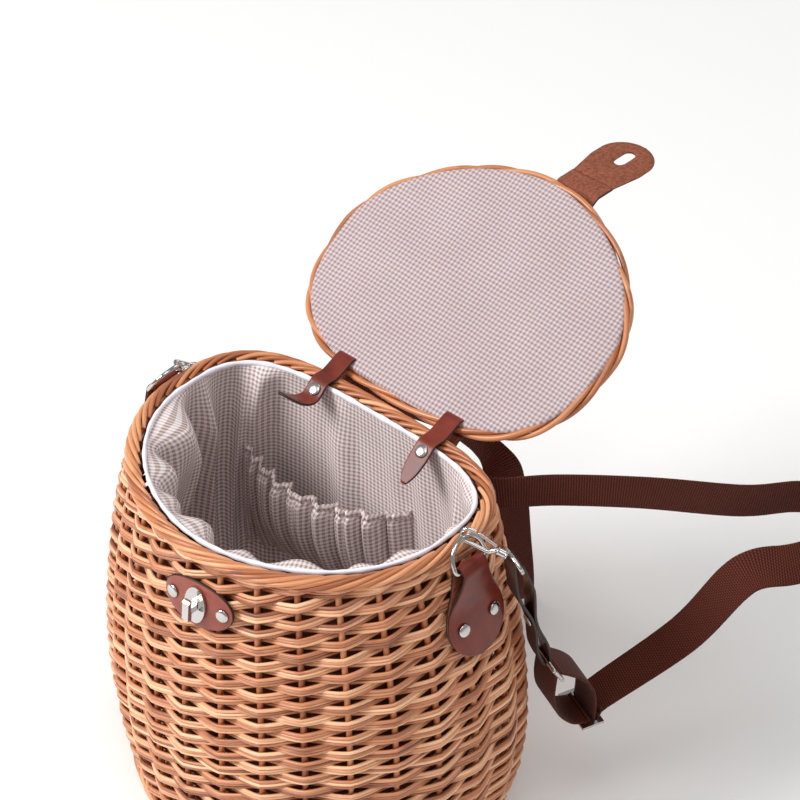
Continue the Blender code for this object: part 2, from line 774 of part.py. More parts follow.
def ring_frame(side):
    """The D ring's bar middle, bar direction, and the direction from the bar to the bow's top."""
    bar, along, out = tab_frame(side)
    up = np.array([0, 0, 1])
    rise = up * math.cos(RING_LEANS[side]) - out * math.sin(RING_LEANS[side])
    return bar, along, rise


def ring_points(side):
    bar, along, rise = ring_frame(side)
    half = RING_WIDTH / 2
    legs = RING_HEIGHT - half
    corner = RING_WIRE * 1.5
    points = [bar + along * half * share for share in (-0.8, 0, 0.8)]
    points.append(bar + along * half + rise * corner)
    for turn in np.radians(np.linspace(0, 180, 15)):
        points.append(bar + along * half * math.cos(turn) + rise * (legs + half * math.sin(turn)))
    points.append(bar - along * half + rise * corner)
    return points


def build_ring(side, word, parts):
    ring = wire(f"d_ring_{word}", ring_points(side), RING_WIRE, "nickel", parts, cyclic=True)
    set_curve_origin(ring, ring_frame(side)[0])


def set_curve_origin(thing, point):
    """Puts a curve's origin on its joint's axis; its points then count from there."""
    for spline in thing.data.splines:
        for p in spline.points:
            p.co = (p.co[0] - point[0], p.co[1] - point[1], p.co[2] - point[2], 1)
    thing.location = Vector(point)


def chain_axes(side):
    """Across the straps' hardware, then back and up in the plane in which the chain hangs."""
    across = unit(np.array(CHAIN_ACROSS) * (side, 1, 1))
    rise = unit(np.array([0, 0, 1]) - across * across[2])
    back = np.cross(rise, across) * side
    return across, back, rise


def bar_place(side, places):
    bar = ring_frame(side)[0]
    return bar + np.array(places[side]) * (side, 1, 1)


def chain_place(side, place):
    _, back, rise = chain_axes(side)
    return bar_place(side, EYE_PLACES) + back * place[0] + rise * place[1]


def hook_frame(side):
    """The wire that the hook holds, the way to the barrel, the way out of the opening, and the tilt."""
    bar, along, rise = ring_frame(side)
    back = along * side
    half = RING_WIDTH / 2
    turn = HOOK_TURNS[side]
    reach = RING_HEIGHT - half + half * math.cos(turn)
    held = bar + back * half * math.sin(turn) + rise * reach
    wire_way = back * math.cos(turn) - rise * math.sin(turn)
    gap = bar_place(side, BARREL_PLACES) - held
    ahead = unit(gap)
    out = unit(np.cross(wire_way, ahead))
    out = out if out[2] > 0 else -out
    tilt = math.sqrt(1 - np.dot(ahead, wire_way) ** 2)
    return held, ahead, out, tilt, np.linalg.norm(gap)


def build_hook(side, word, parts):
    held, ahead, out, tilt, reach = hook_frame(side)
    bend = HOOK_OPENING / 2 + HOOK_WIRE
    centre = bend - (RING_WIRE + HOOK_WIRE + 2 * TOUCH_GAP) / tilt
    neck = reach - BARREL_LENGTH / 2

    def at(u, v):
        return held + ahead * u + out * v

    points = [at(reach + BARREL_LENGTH / 2, 0), at(neck, 0), at(neck - HOOK_WIRE / 2, 0)]
    scale = [BARREL_RADIUS / HOOK_WIRE, BARREL_RADIUS / HOOK_WIRE, 1]
    points.append(at(neck - 2 * HOOK_WIRE, HOOK_SHIFT - bend * 0.55))
    points.append(at(neck - 4 * HOOK_WIRE, HOOK_SHIFT - bend * 0.95))
    for turn in np.radians(np.linspace(270, 90, 9)):
        points.append(at(centre + bend * math.cos(turn), HOOK_SHIFT + bend * math.sin(turn)))
    points.append(at(centre + HOOK_TIP, HOOK_SHIFT + bend))
    scale += [1] * (len(points) - len(scale))
    wire(f"snap_hook_{word}", points, HOOK_WIRE, "nickel", parts, scale=scale)
    hinge = at(neck - GATE_RADIUS - TOUCH_GAP, HOOK_WIRE + GATE_RADIUS + TOUCH_GAP)
    far = at(centre + HOOK_TIP + GATE_RADIUS + TOUCH_GAP, HOOK_SHIFT + bend)
    gate = wire(f"hook_gate_{word}", [hinge, (hinge + far) / 2, far], GATE_RADIUS, "nickel", parts)
    set_curve_origin(gate, hinge)


def eye_points(side):
    """The swivel eye: a rounded triangle from the barrel to the bar that carries the leather."""
    _, ahead, _, _, _ = hook_frame(side)
    across = chain_axes(side)[0]
    top = bar_place(side, BARREL_PLACES) + ahead * (BARREL_LENGTH / 2 + EYE_WIRE + EYE_SWIVEL)
    bar = bar_place(side, EYE_PLACES)
    half = EYE_WIDTH / 2
    outline = ((1, 0.22), (0.78, 0.84), (0.45, 1.0), (0, 0.96))
    one = [top + (bar - top) * (1 - rise) + across * half * wide for rise, wide in outline]
    two = [top + (bar - top) * (1 - rise) - across * half * wide for rise, wide in outline[::-1]]
    return one + two


def build_connector(side, word, parts):
    across = chain_axes(side)[0]
    wire(f"hook_eye_{word}", eye_points(side), EYE_WIRE, "nickel", parts, cyclic=True)
    eye, buckle = bar_place(side, EYE_PLACES), chain_place(side, BUCKLE_NEAR_PLACE)
    round_eye = EYE_WIRE + TOUCH_GAP + LEATHER / 2
    round_buckle = BUCKLE_WIRE + TOUCH_GAP + LEATHER / 2
    path = layered_loop(eye, buckle, across, round_eye, round_buckle, CONNECTOR_REACH)
    band(f"strap_connector_{word}", path, across, CONNECTOR_WIDTH, LEATHER, "leather", parts, closed=True)
    way, apart = CONNECTOR_RIVET_SHARE, min(reach for _, reach in CONNECTOR_REACH)
    face = unit(np.cross(across, buckle - eye)) * side
    face = face if face[1] < 0 else -face
    seat = eye + (buckle - eye) * way + face * (apart + LEATHER / 2)
    rivet(f"connector_rivet_{word}", seat, face, parts)


def build_buckle(side, word, parts):
    across = chain_axes(side)[0]
    near, far = chain_place(side, BUCKLE_NEAR_PLACE), chain_place(side, BUCKLE_FAR_PLACE)
    half = WEB_WIDTH / 2 + WEB_PLAY + BUCKLE_WIRE
    corner = BUCKLE_WIRE
    inward = unit(far - near) * corner
    points = []
    for bar, way in ((near, 1), (far, -1)):
        points.append(bar - across * half * way + inward * way)
        points.append(bar - across * (half - corner) * way)
        points.append(bar + across * (half - corner) * way)
        points.append(bar + across * half * way + inward * way)
    wire(f"strap_buckle_{word}", points, BUCKLE_WIRE, "nickel", parts, cyclic=True)


def slider_radii():
    """The sewn end's radius about the slider's middle bar, the passing layer's, and the slots' far edge."""
    sewn = math.hypot(SLIDER_BAR, SLIDER_THICKNESS) / 2 + TOUCH_GAP + WEB_THICKNESS / 2
    passing = sewn + WEB_THICKNESS + TOUCH_GAP
    return sewn, passing, passing + WEB_THICKNESS / 2 + TOUCH_GAP


def tail_path():
    """The webbing in the chain's plane, from the slider's first slot by the buckle to its sewn end."""
    sewn, passing, slot_end = slider_radii()
    top = SLIDER_THICKNESS / 2
    corner = WEB_THICKNESS / 2 + TOUCH_GAP
    path = []
    for turn in np.radians((135, 157, 180)):
        path.append((slot_end + corner * math.cos(turn), top + corner * math.sin(turn)))
    for turn in np.radians(np.linspace(0, -180, 9)):
        path.append((passing * math.cos(turn), passing * math.sin(turn)))
    for turn in np.radians((0, 23, 45)):
        path.append((-slot_end + corner * math.cos(turn), top + corner * math.sin(turn)))
    far = np.array(BUCKLE_FAR_PLACE) - np.array(SLIDER_PLACE)
    aside = np.array([-far[1], far[0]]) / np.linalg.norm(far)
    round_buckle = BUCKLE_WIRE + TOUCH_GAP + WEB_THICKNESS / 2
    ways = (0.15, 0.3, 0.45, 0.6, 0.75, 0.88)
    for way in ways:
        apart = slot_end * (1 - way) + round_buckle * way + TAIL_BULGE * math.sin(math.pi * way)
        path.append(tuple(far * way + aside * apart))
    start = math.atan2(aside[1], aside[0])
    for turn in np.linspace(0, math.pi, 7):
        path.append(tuple(far + round_buckle * np.array([math.cos(start - turn), math.sin(start - turn)])))
    for way in ways[::-1]:
        apart = sewn * (1 - way) + round_buckle * way + TAIL_BULGE * math.sin(math.pi * way)
        path.append(tuple(far * way - aside * apart))
    end = start + math.pi
    for turn in np.radians(np.linspace(0, 283, 12)):
        path.append((sewn * math.cos(end - turn), sewn * math.sin(end - turn)))
    return path


def build_slider(side, word, parts, cutters):
    """The slider's frame: a middle bar for the sewn end and a slot on each side of it."""
    across, back, rise = chain_axes(side)
    middle = chain_place(side, SLIDER_PLACE)
    slot_end = slider_radii()[2]

    def block(name, low, high, width, depth, into):
        rings = []
        for reach in (low, high):
            centre = middle + back * reach
            rings.append([centre + across * width / 2 * a + rise * depth / 2 * b for a, b in (
                (-1, -1),
                (1, -1),
                (1, 1),
                (-1, 1),
            )])
        return loft(name, rings, "nickel", into)

    inner = WEB_WIDTH + 2 * WEB_PLAY
    half = slot_end + SLIDER_BAR
    frame = block(f"strap_slider_{word}", -half, half, inner + 2 * SLIDER_BAR, SLIDER_THICKNESS, parts)
    for number, way in ((1, -1), (2, 1)):
        ends = sorted((way * SLIDER_BAR / 2, way * slot_end))
        hole = block(f"slider_slot_{word}_{number}", *ends, inner, SLIDER_THICKNESS + CUT_OVERRUN, cutters)
        hole.hide_render = True
        hole.display_type = "WIRE"
        cut(frame, hole)


def patch_place(side):
    def place(a, b, lift):
        z = MOUTH_HEIGHT - BACK_PATCH_DROP + b
        return wall_point(0.5, a, z, lift)

    return place


def build_back_patch(parts):
    over = TOUCH_GAP * 2 + WEB_THICKNESS
    place = patch_place(1)
    oval_plate(
        "back_patch",
        lambda a, b, lift: place(a, b, lift + over),
        BACK_PATCH_WIDTH / 2,
        BACK_PATCH_HEIGHT / 2,
        LEATHER,
        "leather",
        parts,
        power=6.0,
    )
    number = 0
    for a in (-1, 1):
        for b in (-1, 1):
            number += 1
            x = a * (BACK_PATCH_WIDTH / 2 - 1.6 * RIVET_RADIUS)
            z = b * (BACK_PATCH_HEIGHT / 2 - 1.6 * RIVET_RADIUS)
            seat = place(x, z, over + LEATHER)
            out = place(x, z, over + 2 * LEATHER) - seat
            slope = place(x, z + LEATHER, over) - place(x, z - LEATHER, over)
            normal = out - slope * np.dot(out, slope) / np.dot(slope, slope)
            rivet(f"back_rivet_{number}", seat, normal, parts)


def strap_start(side):
    """Points of a strap that lie on the back wall, from under the patch outwards."""
    z = MOUTH_HEIGHT - BACK_PATCH_DROP
    lift = TOUCH_GAP + WEB_THICKNESS / 2
    places = ((0.12, lift), (0.5, lift), (0.85, lift + WEB_THICKNESS))
    return [wall_point(0.5, -side * way * BACK_PATCH_WIDTH, z, away) for way, away in places]


# Places along each strap beyond the patch, as shares of ROUTE_REACH from the patch's middle on the wall.
RIGHT_ROUTE_SHARES = (
    (0.95, 0.10, 0.08),
    (1.25, 0.40, 0.09),
    (1.74, 0.83, 0.07),
    (2.20, 1.39, -0.10),
    (2.48, 1.80, -0.17),
    (2.76, 1.88, -0.27),
    (2.88, 1.67, -0.35),
    (2.74, 1.34, -0.36),
    (2.50, 1.05, -0.42),
    (2.18, 0.82, -1.04),
)
LEFT_ROUTE_SHARES = (
    (-1.00, 0.12, -0.14),
    (-1.24, 0.42, -0.40),
    (-1.16, 0.80, -0.55),
    (-0.80, 1.02, -0.58),
    (-0.34, 1.08, -0.56),
    (0.10, 1.08, -0.68),
    (0.23, 1.10, -0.98),
    (0.26, 1.14, -1.50),
    (0.24, 1.22, -2.05),
    (0.04, 1.40, -2.42),
    (-0.42, 1.62, -2.47),
    (-1.00, 1.74, -2.36),
    (-1.60, 1.56, -2.02),
    (-1.98, 1.20, -1.66),
    (-2.02, 0.98, -1.58),
    (-1.86, 0.76, -1.66),
)


def strap_route(side, shares):
    middle = wall_point(0.5, 0, MOUTH_HEIGHT - BACK_PATCH_DROP, 0)
    _, back, rise = chain_axes(side)
    tail = [chain_place(side, np.array(SLIDER_PLACE) + place) for place in tail_path()]
    lead = tail[0] + (back + rise) * WEB_WIDTH / 3
    free = [middle + np.array(share) * ROUTE_REACH for share in shares]
    path = smooth_path(strap_start(side) + free + [lead, tail[0]], 4)
    return np.vstack([path, tail[1:]]), len(path)


def strap_across(count, total, turns):
    """The width direction along a strap: upright at the patch, then turned to the chain's."""
    stations = np.r_[np.linspace(0, 1, count), np.ones(total - count)]
    keys = np.array([way for way, _ in turns])
    values = np.array([unit(direction) for _, direction in turns])
    return np.array([unit([np.interp(s, keys, values[:, i]) for i in range(3)]) for s in stations])


def patch_slope():
    """The wall's upward direction under the back patch."""
    z = MOUTH_HEIGHT - BACK_PATCH_DROP
    return unit(wall_point(0.5, 0, z + LEATHER, 0) - wall_point(0.5, 0, z - LEATHER, 0))


def build_straps(parts):
    up = (0, 0, 1)
    slope = patch_slope()
    right_turns = [(0, slope), (0.2, slope), (0.32, up), (0.5, up), (0.72, (-0.75, -0.15, 0.6)), (0.93, -chain_axes(1)[0])]
    left_turns = [
        (0, slope),
        (0.15, slope),
        (0.24, up),
        (0.38, up),
        (0.46, (0.5, 0.866, 0)),
        (0.68, (0.5, 0.866, 0)),
        (0.93, -chain_axes(-1)[0]),
    ]
    for side, word, shares, turns in (
        (1, "right", RIGHT_ROUTE_SHARES, right_turns),
        (-1, "left", LEFT_ROUTE_SHARES, left_turns),
    ):
        path, count = strap_route(side, shares)
        across = strap_across(count, len(path), turns)
        band(f"strap_{word}", path, across, WEB_WIDTH, WEB_THICKNESS, "webbing", parts)


def lock_share():
    return share_at(wall_oval(MOUTH_HEIGHT - LOCK_DROP), x=LOCK_X)


def lock_place(a, b, lift):
    return wall_point(lock_share(), a, MOUTH_HEIGHT - LOCK_DROP + b, lift)


def lock_frame():
    """The lock's middle on the wall, its outward normal, and its up and across directions."""
    middle = lock_place(0, 0, 0)
    rise = unit(lock_place(0, LEATHER, 0) - lock_place(0, -LEATHER, 0))
    across = unit(lock_place(LEATHER, 0, 0) - lock_place(-LEATHER, 0, 0))
    return middle, unit(np.cross(across, rise)), rise, across


def flat_place(lift_from):
    middle, normal, rise, across = lock_frame()
    return lambda a, b, lift: middle + across * a + rise * b + normal * (lift + lift_from)


def lock_stack():
    """Lifts above the wall: top of the leather plate, and top of the metal base."""
    leather_top = 2 * TOUCH_GAP + LEATHER
    return leather_top, leather_top + TOUCH_GAP + LOCK_BASE_THICKNESS


def build_lock(parts):
    oval_plate(
        "lock_plate",
        lambda a, b, lift: lock_place(a, b, lift + TOUCH_GAP),
        LOCK_PLATE_WIDTH / 2,
        LOCK_PLATE_HEIGHT / 2,
        LEATHER,
        "leather",
        parts,
    )
    leather_top, base_top = lock_stack()
    for number, way in ((1, -1), (2, 1)):
        a = way * LOCK_RIVET_SPREAD / 2
        seat = lock_place(a, 0, leather_top)
        out = lock_place(a, 0, 2 * leather_top) - seat
        slope = lock_place(a, LEATHER, 0) - lock_place(a, -LEATHER, 0)
        normal = out - slope * np.dot(out, slope) / np.dot(slope, slope)
        rivet(f"lock_rivet_{number}", seat, normal, parts)
    oval_plate(
        "lock_base",
        flat_place(leather_top),
        LOCK_BASE_WIDTH / 2,
        LOCK_BASE_HEIGHT / 2,
        LOCK_BASE_THICKNESS,
        "nickel",
        parts,
        rings=2,
        count=20,
    )
    backing = -(WALL_THICKNESS + 3 * TOUCH_GAP + LOCK_BASE_THICKNESS / 2)
    oval_plate(
        "lock_backing",
        flat_place(backing),
        LOCK_BACKING_SIZE / 2,
        LOCK_BACKING_SIZE / 2,
        LOCK_BASE_THICKNESS / 2,
        "nickel",
        parts,
        rings=2,
        count=16,
    )


def tongue_rest_lift():
    """How far the closed tongue's inner face stands off the wall at the lock."""
    return lock_stack()[1] + TONGUE_STAND_OFF


def build_toggle(parts):
    """A T of flat bar: the post stands on the base and the wings lie across its end."""
    middle, normal, rise, across = lock_frame()
    foot = lock_stack()[1] + TOUCH_GAP
    under = tongue_rest_lift() + LEATHER + SLOT_CLEARANCE
    top = under + TOGGLE_WING
    wing, post = TOGGLE_LENGTH / 2, TOGGLE_WIDTH / 2
    corner = TOGGLE_WING / 3
    outline = [
        (-post, foot),
        (post, foot),
        (post, under),
        (wing, under),
        (wing, top - corner),
        (wing - corner, top),
        (corner - wing, top),
        (-wing, top - corner),
        (-wing, under),
        (-post, under),
    ]
    rings = []
    for a in (-TOGGLE_WIDTH / 2, TOGGLE_WIDTH / 2):
        rings.append([middle + across * a + rise * b + normal * lift for b, lift in outline])
    toggle = loft("lock_toggle", rings, "nickel", parts)
    toggle.data.transform(_translation(-Vector(middle)))
    toggle.location = Vector(middle)


def tongue_axis():
    """Along and up of the tongue's bend, just past the top of the lid's front border."""
    return lid_length() + LEATHER, LID_ROD_RISE + LID_ROD_RADIUS + LEATHER / 4


def tongue_reach():
    """From the bend to the slot's middle, so that the slot meets the lock with the lid closed."""
    along, up = tongue_axis()
    bend = lid_point(LOCK_X, along, up, angle=0)
    middle, normal, _, _ = lock_frame()
    meet = middle + normal * (tongue_rest_lift() + LEATHER / 2)
    drop = meet - bend
    return math.hypot(drop[1], drop[2]), math.atan2(-drop[2], -drop[1])


def tongue_point(a, reach, lift):
    """A point of the tongue at rest, drooping outwards from the lid's plane."""
    along, up = tongue_axis()
    c, s = math.cos(TONGUE_DROOP), math.sin(TONGUE_DROOP)
    return lid_point(LOCK_X + a, along + reach * c - lift * s, up + reach * s + lift * c)


def build_tongue(parts, cutters):
    slot_at, _ = tongue_reach()
    end = slot_at + TONGUE_END
    head = TONGUE_HEAD_WIDTH / 2
    root = TONGUE_ROOT_WIDTH / 2
    flare_end = slot_at - TONGUE_END / 2
    widths = [(-LEATHER * 0.45, root * 0.97), (0, root), (flare_end * 0.35, root * 0.98), (flare_end * 0.7, (root + head) / 2), (flare_end, head)]
    round_from = end - head
    for share in (0.15, 0.35, 0.55, 0.75, 0.9, 0.98):
        widths.append((round_from + head * share, head * math.sqrt(1 - share * share)))
    widths = sorted(widths)
    rings = []
    for reach, half in widths:
        thick = LEATHER / 2 if reach >= 0 else LEATHER / 6
        rings.append([tongue_point(half * a, reach, thick * b) for a, b in (
            (-1, -1),
            (0, -1),
            (1, -1),
            (1, 1),
            (0, 1),
            (-1, 1),
        )])
    tongue = loft("lid_tongue", rings, "leather", parts)
    half_length = TOGGLE_LENGTH / 2 + SLOT_CLEARANCE
    half_width = TOGGLE_WIDTH / 2 + SLOT_CLEARANCE
    count = 16
    slot = []
    for lift in (-CUT_OVERRUN, CUT_OVERRUN):
        ring = []
        for turn in np.arange(count) * 2 * math.pi / count:
            c, s = math.cos(turn), math.sin(turn)
            shift = math.copysign(half_length - half_width, s) if abs(s) > 0.01 else half_length - half_width
            ring.append(tongue_point(half_width * c, slot_at + shift + half_width * s, lift))
        slot.append(ring)
    hole = loft("tongue_slot", slot, "leather", cutters)
    hole.hide_render = True
    hole.display_type = "WIRE"
    cut(tongue, hole)
    bend = tongue_point(0, 0, 0)
    tongue.data.transform(_translation(-Vector(bend)))
    tongue.location = Vector(bend)
    hole.data.transform(_translation(-Vector(bend)))
    hole.location = Vector(bend)


def build_tongue_patch(parts):
    """The leather riveted to the lid's outer face, which runs over the border to the bend."""
    along, up = tongue_axis()
    flat = LID_ROD_RISE + LID_PANEL_THICKNESS / 2 + TOUCH_GAP + LEATHER / 2
    over = LID_ROD_RISE + LID_ROD_RADIUS + TOUCH_GAP + LEATHER / 2
    widest = LOCK_X + TONGUE_ROOT_WIDTH / 2
    border = LID_BACK_DEPTH - LID_BACK_REACH - depth_at(lid_oval(), widest, -2 * LID_ROD_RADIUS, back=False)
    line = [
        (border - TONGUE_PATCH_LENGTH, flat),
        (border - TONGUE_PATCH_LENGTH * 0.5, flat),
        (border - LEATHER, flat),
        (border + LID_ROD_RADIUS * 0.6, over),
        (border + LID_ROD_RADIUS * 1.2, over),
        (along - LEATHER / 2 - TOUCH_GAP, up + LEATHER / 4),
    ]
    path = [lid_point(LOCK_X, a, b) for a, b in line]
    half = TONGUE_ROOT_WIDTH
    width = [half * 0.5, half, half, half, half, half]
    band("tongue_patch", path, (1, 0, 0), width, LEATHER, "leather", parts)
    out = lid_point(0, 0, 1) - lid_point(0, 0, 0)
    for number, share in ((1, 0.3), (2, 0.75)):
        seat = lid_point(LOCK_X, border - TONGUE_PATCH_LENGTH * share, flat + LEATHER / 2)
        rivet(f"tongue_rivet_{number}", seat, out, parts)


def build():
    clear_scene()
    parts = collection("pack_basket")
    cutters = collection("cutters")
    build_wall(parts, cutters)
    build_base(parts)
    build_rim(parts)
    build_lining(parts)
    build_pocket(parts)
    build_lid(parts, cutters)
    build_hinges(parts)
    build_lock(parts)
    build_toggle(parts)
    build_tongue(parts, cutters)
    build_tongue_patch(parts)
    build_back_patch(parts)
    build_straps(parts)
    for side, word in ((-1, "left"), (1, "right")):
        build_tab(side, word, parts)
        build_ring(side, word, parts)
        build_hook(side, word, parts)
        build_connector(side, word, parts)
        build_buckle(side, word, parts)
        build_slider(side, word, parts, cutters)


build()
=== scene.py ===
"""Looks of the woven pack basket: willow weave, gingham lining, leather, nickel and webbing.

Metres, +Z up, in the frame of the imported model. +Y is the back, +X is the wearer's right.
"""

import json
import math
import random

import bpy
import numpy as np
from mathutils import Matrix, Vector

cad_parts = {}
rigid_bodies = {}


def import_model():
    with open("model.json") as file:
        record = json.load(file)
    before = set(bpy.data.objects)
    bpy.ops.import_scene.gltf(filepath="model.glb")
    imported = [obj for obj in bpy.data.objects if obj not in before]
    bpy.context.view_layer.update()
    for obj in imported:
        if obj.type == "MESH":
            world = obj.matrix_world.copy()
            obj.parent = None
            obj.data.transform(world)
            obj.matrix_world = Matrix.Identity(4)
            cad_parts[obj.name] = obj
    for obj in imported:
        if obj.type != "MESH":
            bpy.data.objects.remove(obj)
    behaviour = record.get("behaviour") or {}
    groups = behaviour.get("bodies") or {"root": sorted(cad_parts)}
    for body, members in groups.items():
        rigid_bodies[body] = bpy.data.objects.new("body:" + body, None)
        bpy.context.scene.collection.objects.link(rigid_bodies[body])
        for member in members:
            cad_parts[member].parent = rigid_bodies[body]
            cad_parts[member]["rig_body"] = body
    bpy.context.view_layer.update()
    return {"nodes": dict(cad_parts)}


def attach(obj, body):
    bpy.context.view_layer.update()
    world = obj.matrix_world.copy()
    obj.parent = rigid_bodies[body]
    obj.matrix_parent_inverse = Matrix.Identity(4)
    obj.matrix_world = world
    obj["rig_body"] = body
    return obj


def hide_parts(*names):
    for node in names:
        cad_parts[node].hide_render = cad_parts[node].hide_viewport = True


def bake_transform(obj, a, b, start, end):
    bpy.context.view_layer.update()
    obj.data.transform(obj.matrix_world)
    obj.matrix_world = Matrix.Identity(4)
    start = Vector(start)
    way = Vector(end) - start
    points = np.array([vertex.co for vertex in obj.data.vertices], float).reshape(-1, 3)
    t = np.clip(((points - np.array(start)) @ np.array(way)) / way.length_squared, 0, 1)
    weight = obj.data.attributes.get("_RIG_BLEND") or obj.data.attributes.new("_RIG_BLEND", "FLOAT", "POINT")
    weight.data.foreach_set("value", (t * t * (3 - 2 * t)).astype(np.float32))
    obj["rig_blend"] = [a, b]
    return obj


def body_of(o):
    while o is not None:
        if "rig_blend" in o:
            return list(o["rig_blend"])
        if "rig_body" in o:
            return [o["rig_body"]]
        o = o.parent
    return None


# The basket's plan and profile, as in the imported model.
MOUTH_HEIGHT = 0.300
MOUTH_HALF_WIDTH = 0.126
MOUTH_FRONT = 0.110
MOUTH_BACK = 0.073
FRONT_POWER = 1.9
BACK_POWER = 3.5
WALL_REACH = 0.012
WALL_THICKNESS = 0.007
SIDE_BULGE = 0.033
FRONT_BULGE = 0.015
BACK_BULGE = 0.008
BELLY_DEPTH = 0.190
LOWER_TUCK_SHARE = 2.1
TOUCH_GAP = 0.0003
DENSE_STATIONS = 720
BORDER_RADIUS = 0.0062
BORDER_CENTRE_REACH = 0.0088
BORDER_CENTRE_DROP = 0.0030
FOOT_HEIGHT = 0.012
BASE_THICKNESS = 0.008

# Willow of the wall.
STAKES = 28
STAKE_RADIUS = 0.0024
WEAVER_RADIUS = 0.00142
ROW_PITCH = 0.0138
WEAVE_DEPTH = 0.0041
WOBBLE = 0.0009

# Cloth.
CLOTH_THICKNESS = 0.0012
PIPING_RADIUS = 0.0022
LINING_FOLLOW_SHARE = 0.75
POCKET_DROP = 0.081
POCKET_DEPTH = 0.106
POCKET_SAG = 0.036
POCKET_SHARES = (22 / 48, 32 / 48)
LID_CHECK = 0.0034
BAG_CHECK = 0.0038

# Lid.
LID_OPEN_ANGLE = math.radians(151)
HINGE_REACH = 0.015
HINGE_RISE = 0.0045
LID_HALF_WIDTH = 0.133
LID_FRONT_DEPTH = 0.1048
LID_BACK_DEPTH = 0.1068
LID_BACK_REACH = 0.001
LID_FRONT_POWER = 1.78
LID_BACK_POWER = 2.8
LID_ROD_RADIUS = 0.0055
LID_ROD_RISE = 0.0065
LID_PANEL_THICKNESS = 0.0065
LID_PAD_THICKNESS = 0.0022

# Leather.
LEATHER = 0.0020
HINGE_STRAP_X = 0.0525
HINGE_STRAP_WIDTH = 0.015
HINGE_SLACK = 0.0012
HINGE_TAIL_LENGTH = 0.034
HINGE_TAIL_ANGLE = math.radians(39)
LEFT_TAIL_SHARES = ((0.86, 0.02, 0.42), (0.68, 0.17, 0.21), (0.50, 0.25, 0.07), (0.30, 0.235, 0.0))
RIVET_RADIUS = 0.0050
RIVET_HEIGHT = 0.0016
TAB_Y = 0.0040
TAB_BAR_DROP = 0.0095
TAB_BAR_LIFT = 0.0100
TAB_FOLD_WIDTH = 0.024
TAB_ROUND_RADIUS = 0.0270
TAB_LENGTH = 0.0735
BACK_PATCH_WIDTH = 0.074
BACK_PATCH_HEIGHT = 0.056
BACK_PATCH_DROP = 0.045

# Turn lock and tongue.
LOCK_X = 0.014
LOCK_DROP = 0.039
LOCK_PLATE_WIDTH = 0.060
LOCK_PLATE_HEIGHT = 0.037
TOGGLE_LENGTH = 0.017
TOGGLE_WIDTH = 0.0055
TONGUE_ROOT_WIDTH = 0.038
TONGUE_HEAD_WIDTH = 0.047
TONGUE_END = 0.022
TONGUE_DROOP = math.radians(31)
TONGUE_PATCH_LENGTH = 0.050
SLOT_CLEARANCE = 0.0018

# Metal of the straps.
RING_WIRE = 0.0017
RING_WIDTH = 0.031
RING_HEIGHT = 0.0215
RING_LEANS = {1: math.radians(24), -1: math.radians(33)}
HOOK_WIRE = 0.0016
HOOK_OPENING = 0.0074
HOOK_SHIFT = 0.0006
HOOK_TIP = 0.0040
HOOK_TURNS = {1: math.radians(20), -1: math.radians(90)}
BARREL_RADIUS = 0.0032
BARREL_LENGTH = 0.0080
GATE_RADIUS = 0.0011
EYE_WIRE = 0.0015
EYE_SWIVEL = 0.0030
EYE_WIDTH = 0.0225
CONNECTOR_WIDTH = 0.0150
BUCKLE_WIRE = 0.0016
BARREL_PLACES = {1: (0.0149, 0.0150, 0.0100), -1: (0.0045, 0.0360, -0.0100)}
EYE_PLACES = {1: (0.0179, 0.0242, -0.0018), -1: (0.0105, 0.0440, -0.0260)}
CHAIN_ACROSS = (0.930, -0.340, -0.110)
BUCKLE_NEAR_PLACE = (0.0337, -0.1162)
BUCKLE_FAR_PLACE = (0.0415, -0.1290)
SLIDER_PLACE = (0.0750, -0.1986)
CONNECTOR_REACH = (
    (0.12, 0.0045),
    (0.28, 0.0060),
    (0.42, 0.0036),
    (0.54, 0.0013),
    (0.66, 0.0013),
    (0.78, 0.0032),
    (0.88, 0.0042),
)

# Webbing.
WEB_WIDTH = 0.029
WEB_THICKNESS = 0.0016
WEB_PLAY = 0.0010
TAIL_BULGE = 0.0120
SLIDER_THICKNESS = 0.0024
SLIDER_BAR = 0.0030
ROUTE_REACH = 0.100

# Camera: the middle of the picture and the view's direction.
CAMERA_TARGET = (0.00192, 0.09671, 0.300)
CAMERA_AZIMUTH = math.radians(41.95)
CAMERA_ELEVATION = math.radians(39.435)
CAMERA_DISTANCE = 2.4
CAMERA_LENS = 147.97

# Details of the rendered pieces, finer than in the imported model.
WEAVE_CENTRE = 0.0042
WEAVE_STEPS = 6
BORDER_WAYS = (0.0, 0.15, 0.45, 0.75, 1.0)
RIM_TURNS = (-75, -25, 35, 95, 160)
FOOT_TURNS = (75, 25, -35, -95, -160)
BORDER_CORES = (200, 265, 330)
ROW_START = 0.0045
FOOT_INSET = 0.0038
LID_BORDER_TURNS = 6
LID_BORDER_HELIX = 0.0028
LID_BORDER_ROD = 0.0022
LID_STAKES = 9
LID_STAKE_RADIUS = 0.0018
LID_ROW_PITCH = 0.0042
LID_WEAVE_DEPTH = 0.0021
LID_WEAVER_RADIUS = 0.0015
LID_CLOTH_INSET = 0.0058
LID_RIPPLE = 0.0005
BINDING_SHARE = 0.66
BINDING_PROFILE = (
    (-0.5, -1.9),
    (-1.0, -1.2),
    (-1.12, -0.2),
    (-0.75, 0.75),
    (0.1, 1.05),
    (0.85, 0.7),
    (1.05, -0.2),
    (0.8, -1.2),
)
LINING_FLOOR_REACHES = (0.004, 0.010, 0.030, 0.055, 0.085)
LINING_FOLD = 0.0046
LINING_FOLDS = ((7, 0.45, 0.4), (12, 0.35, 2.0), (19, 0.30, 4.1), (29, 0.15, 1.0))
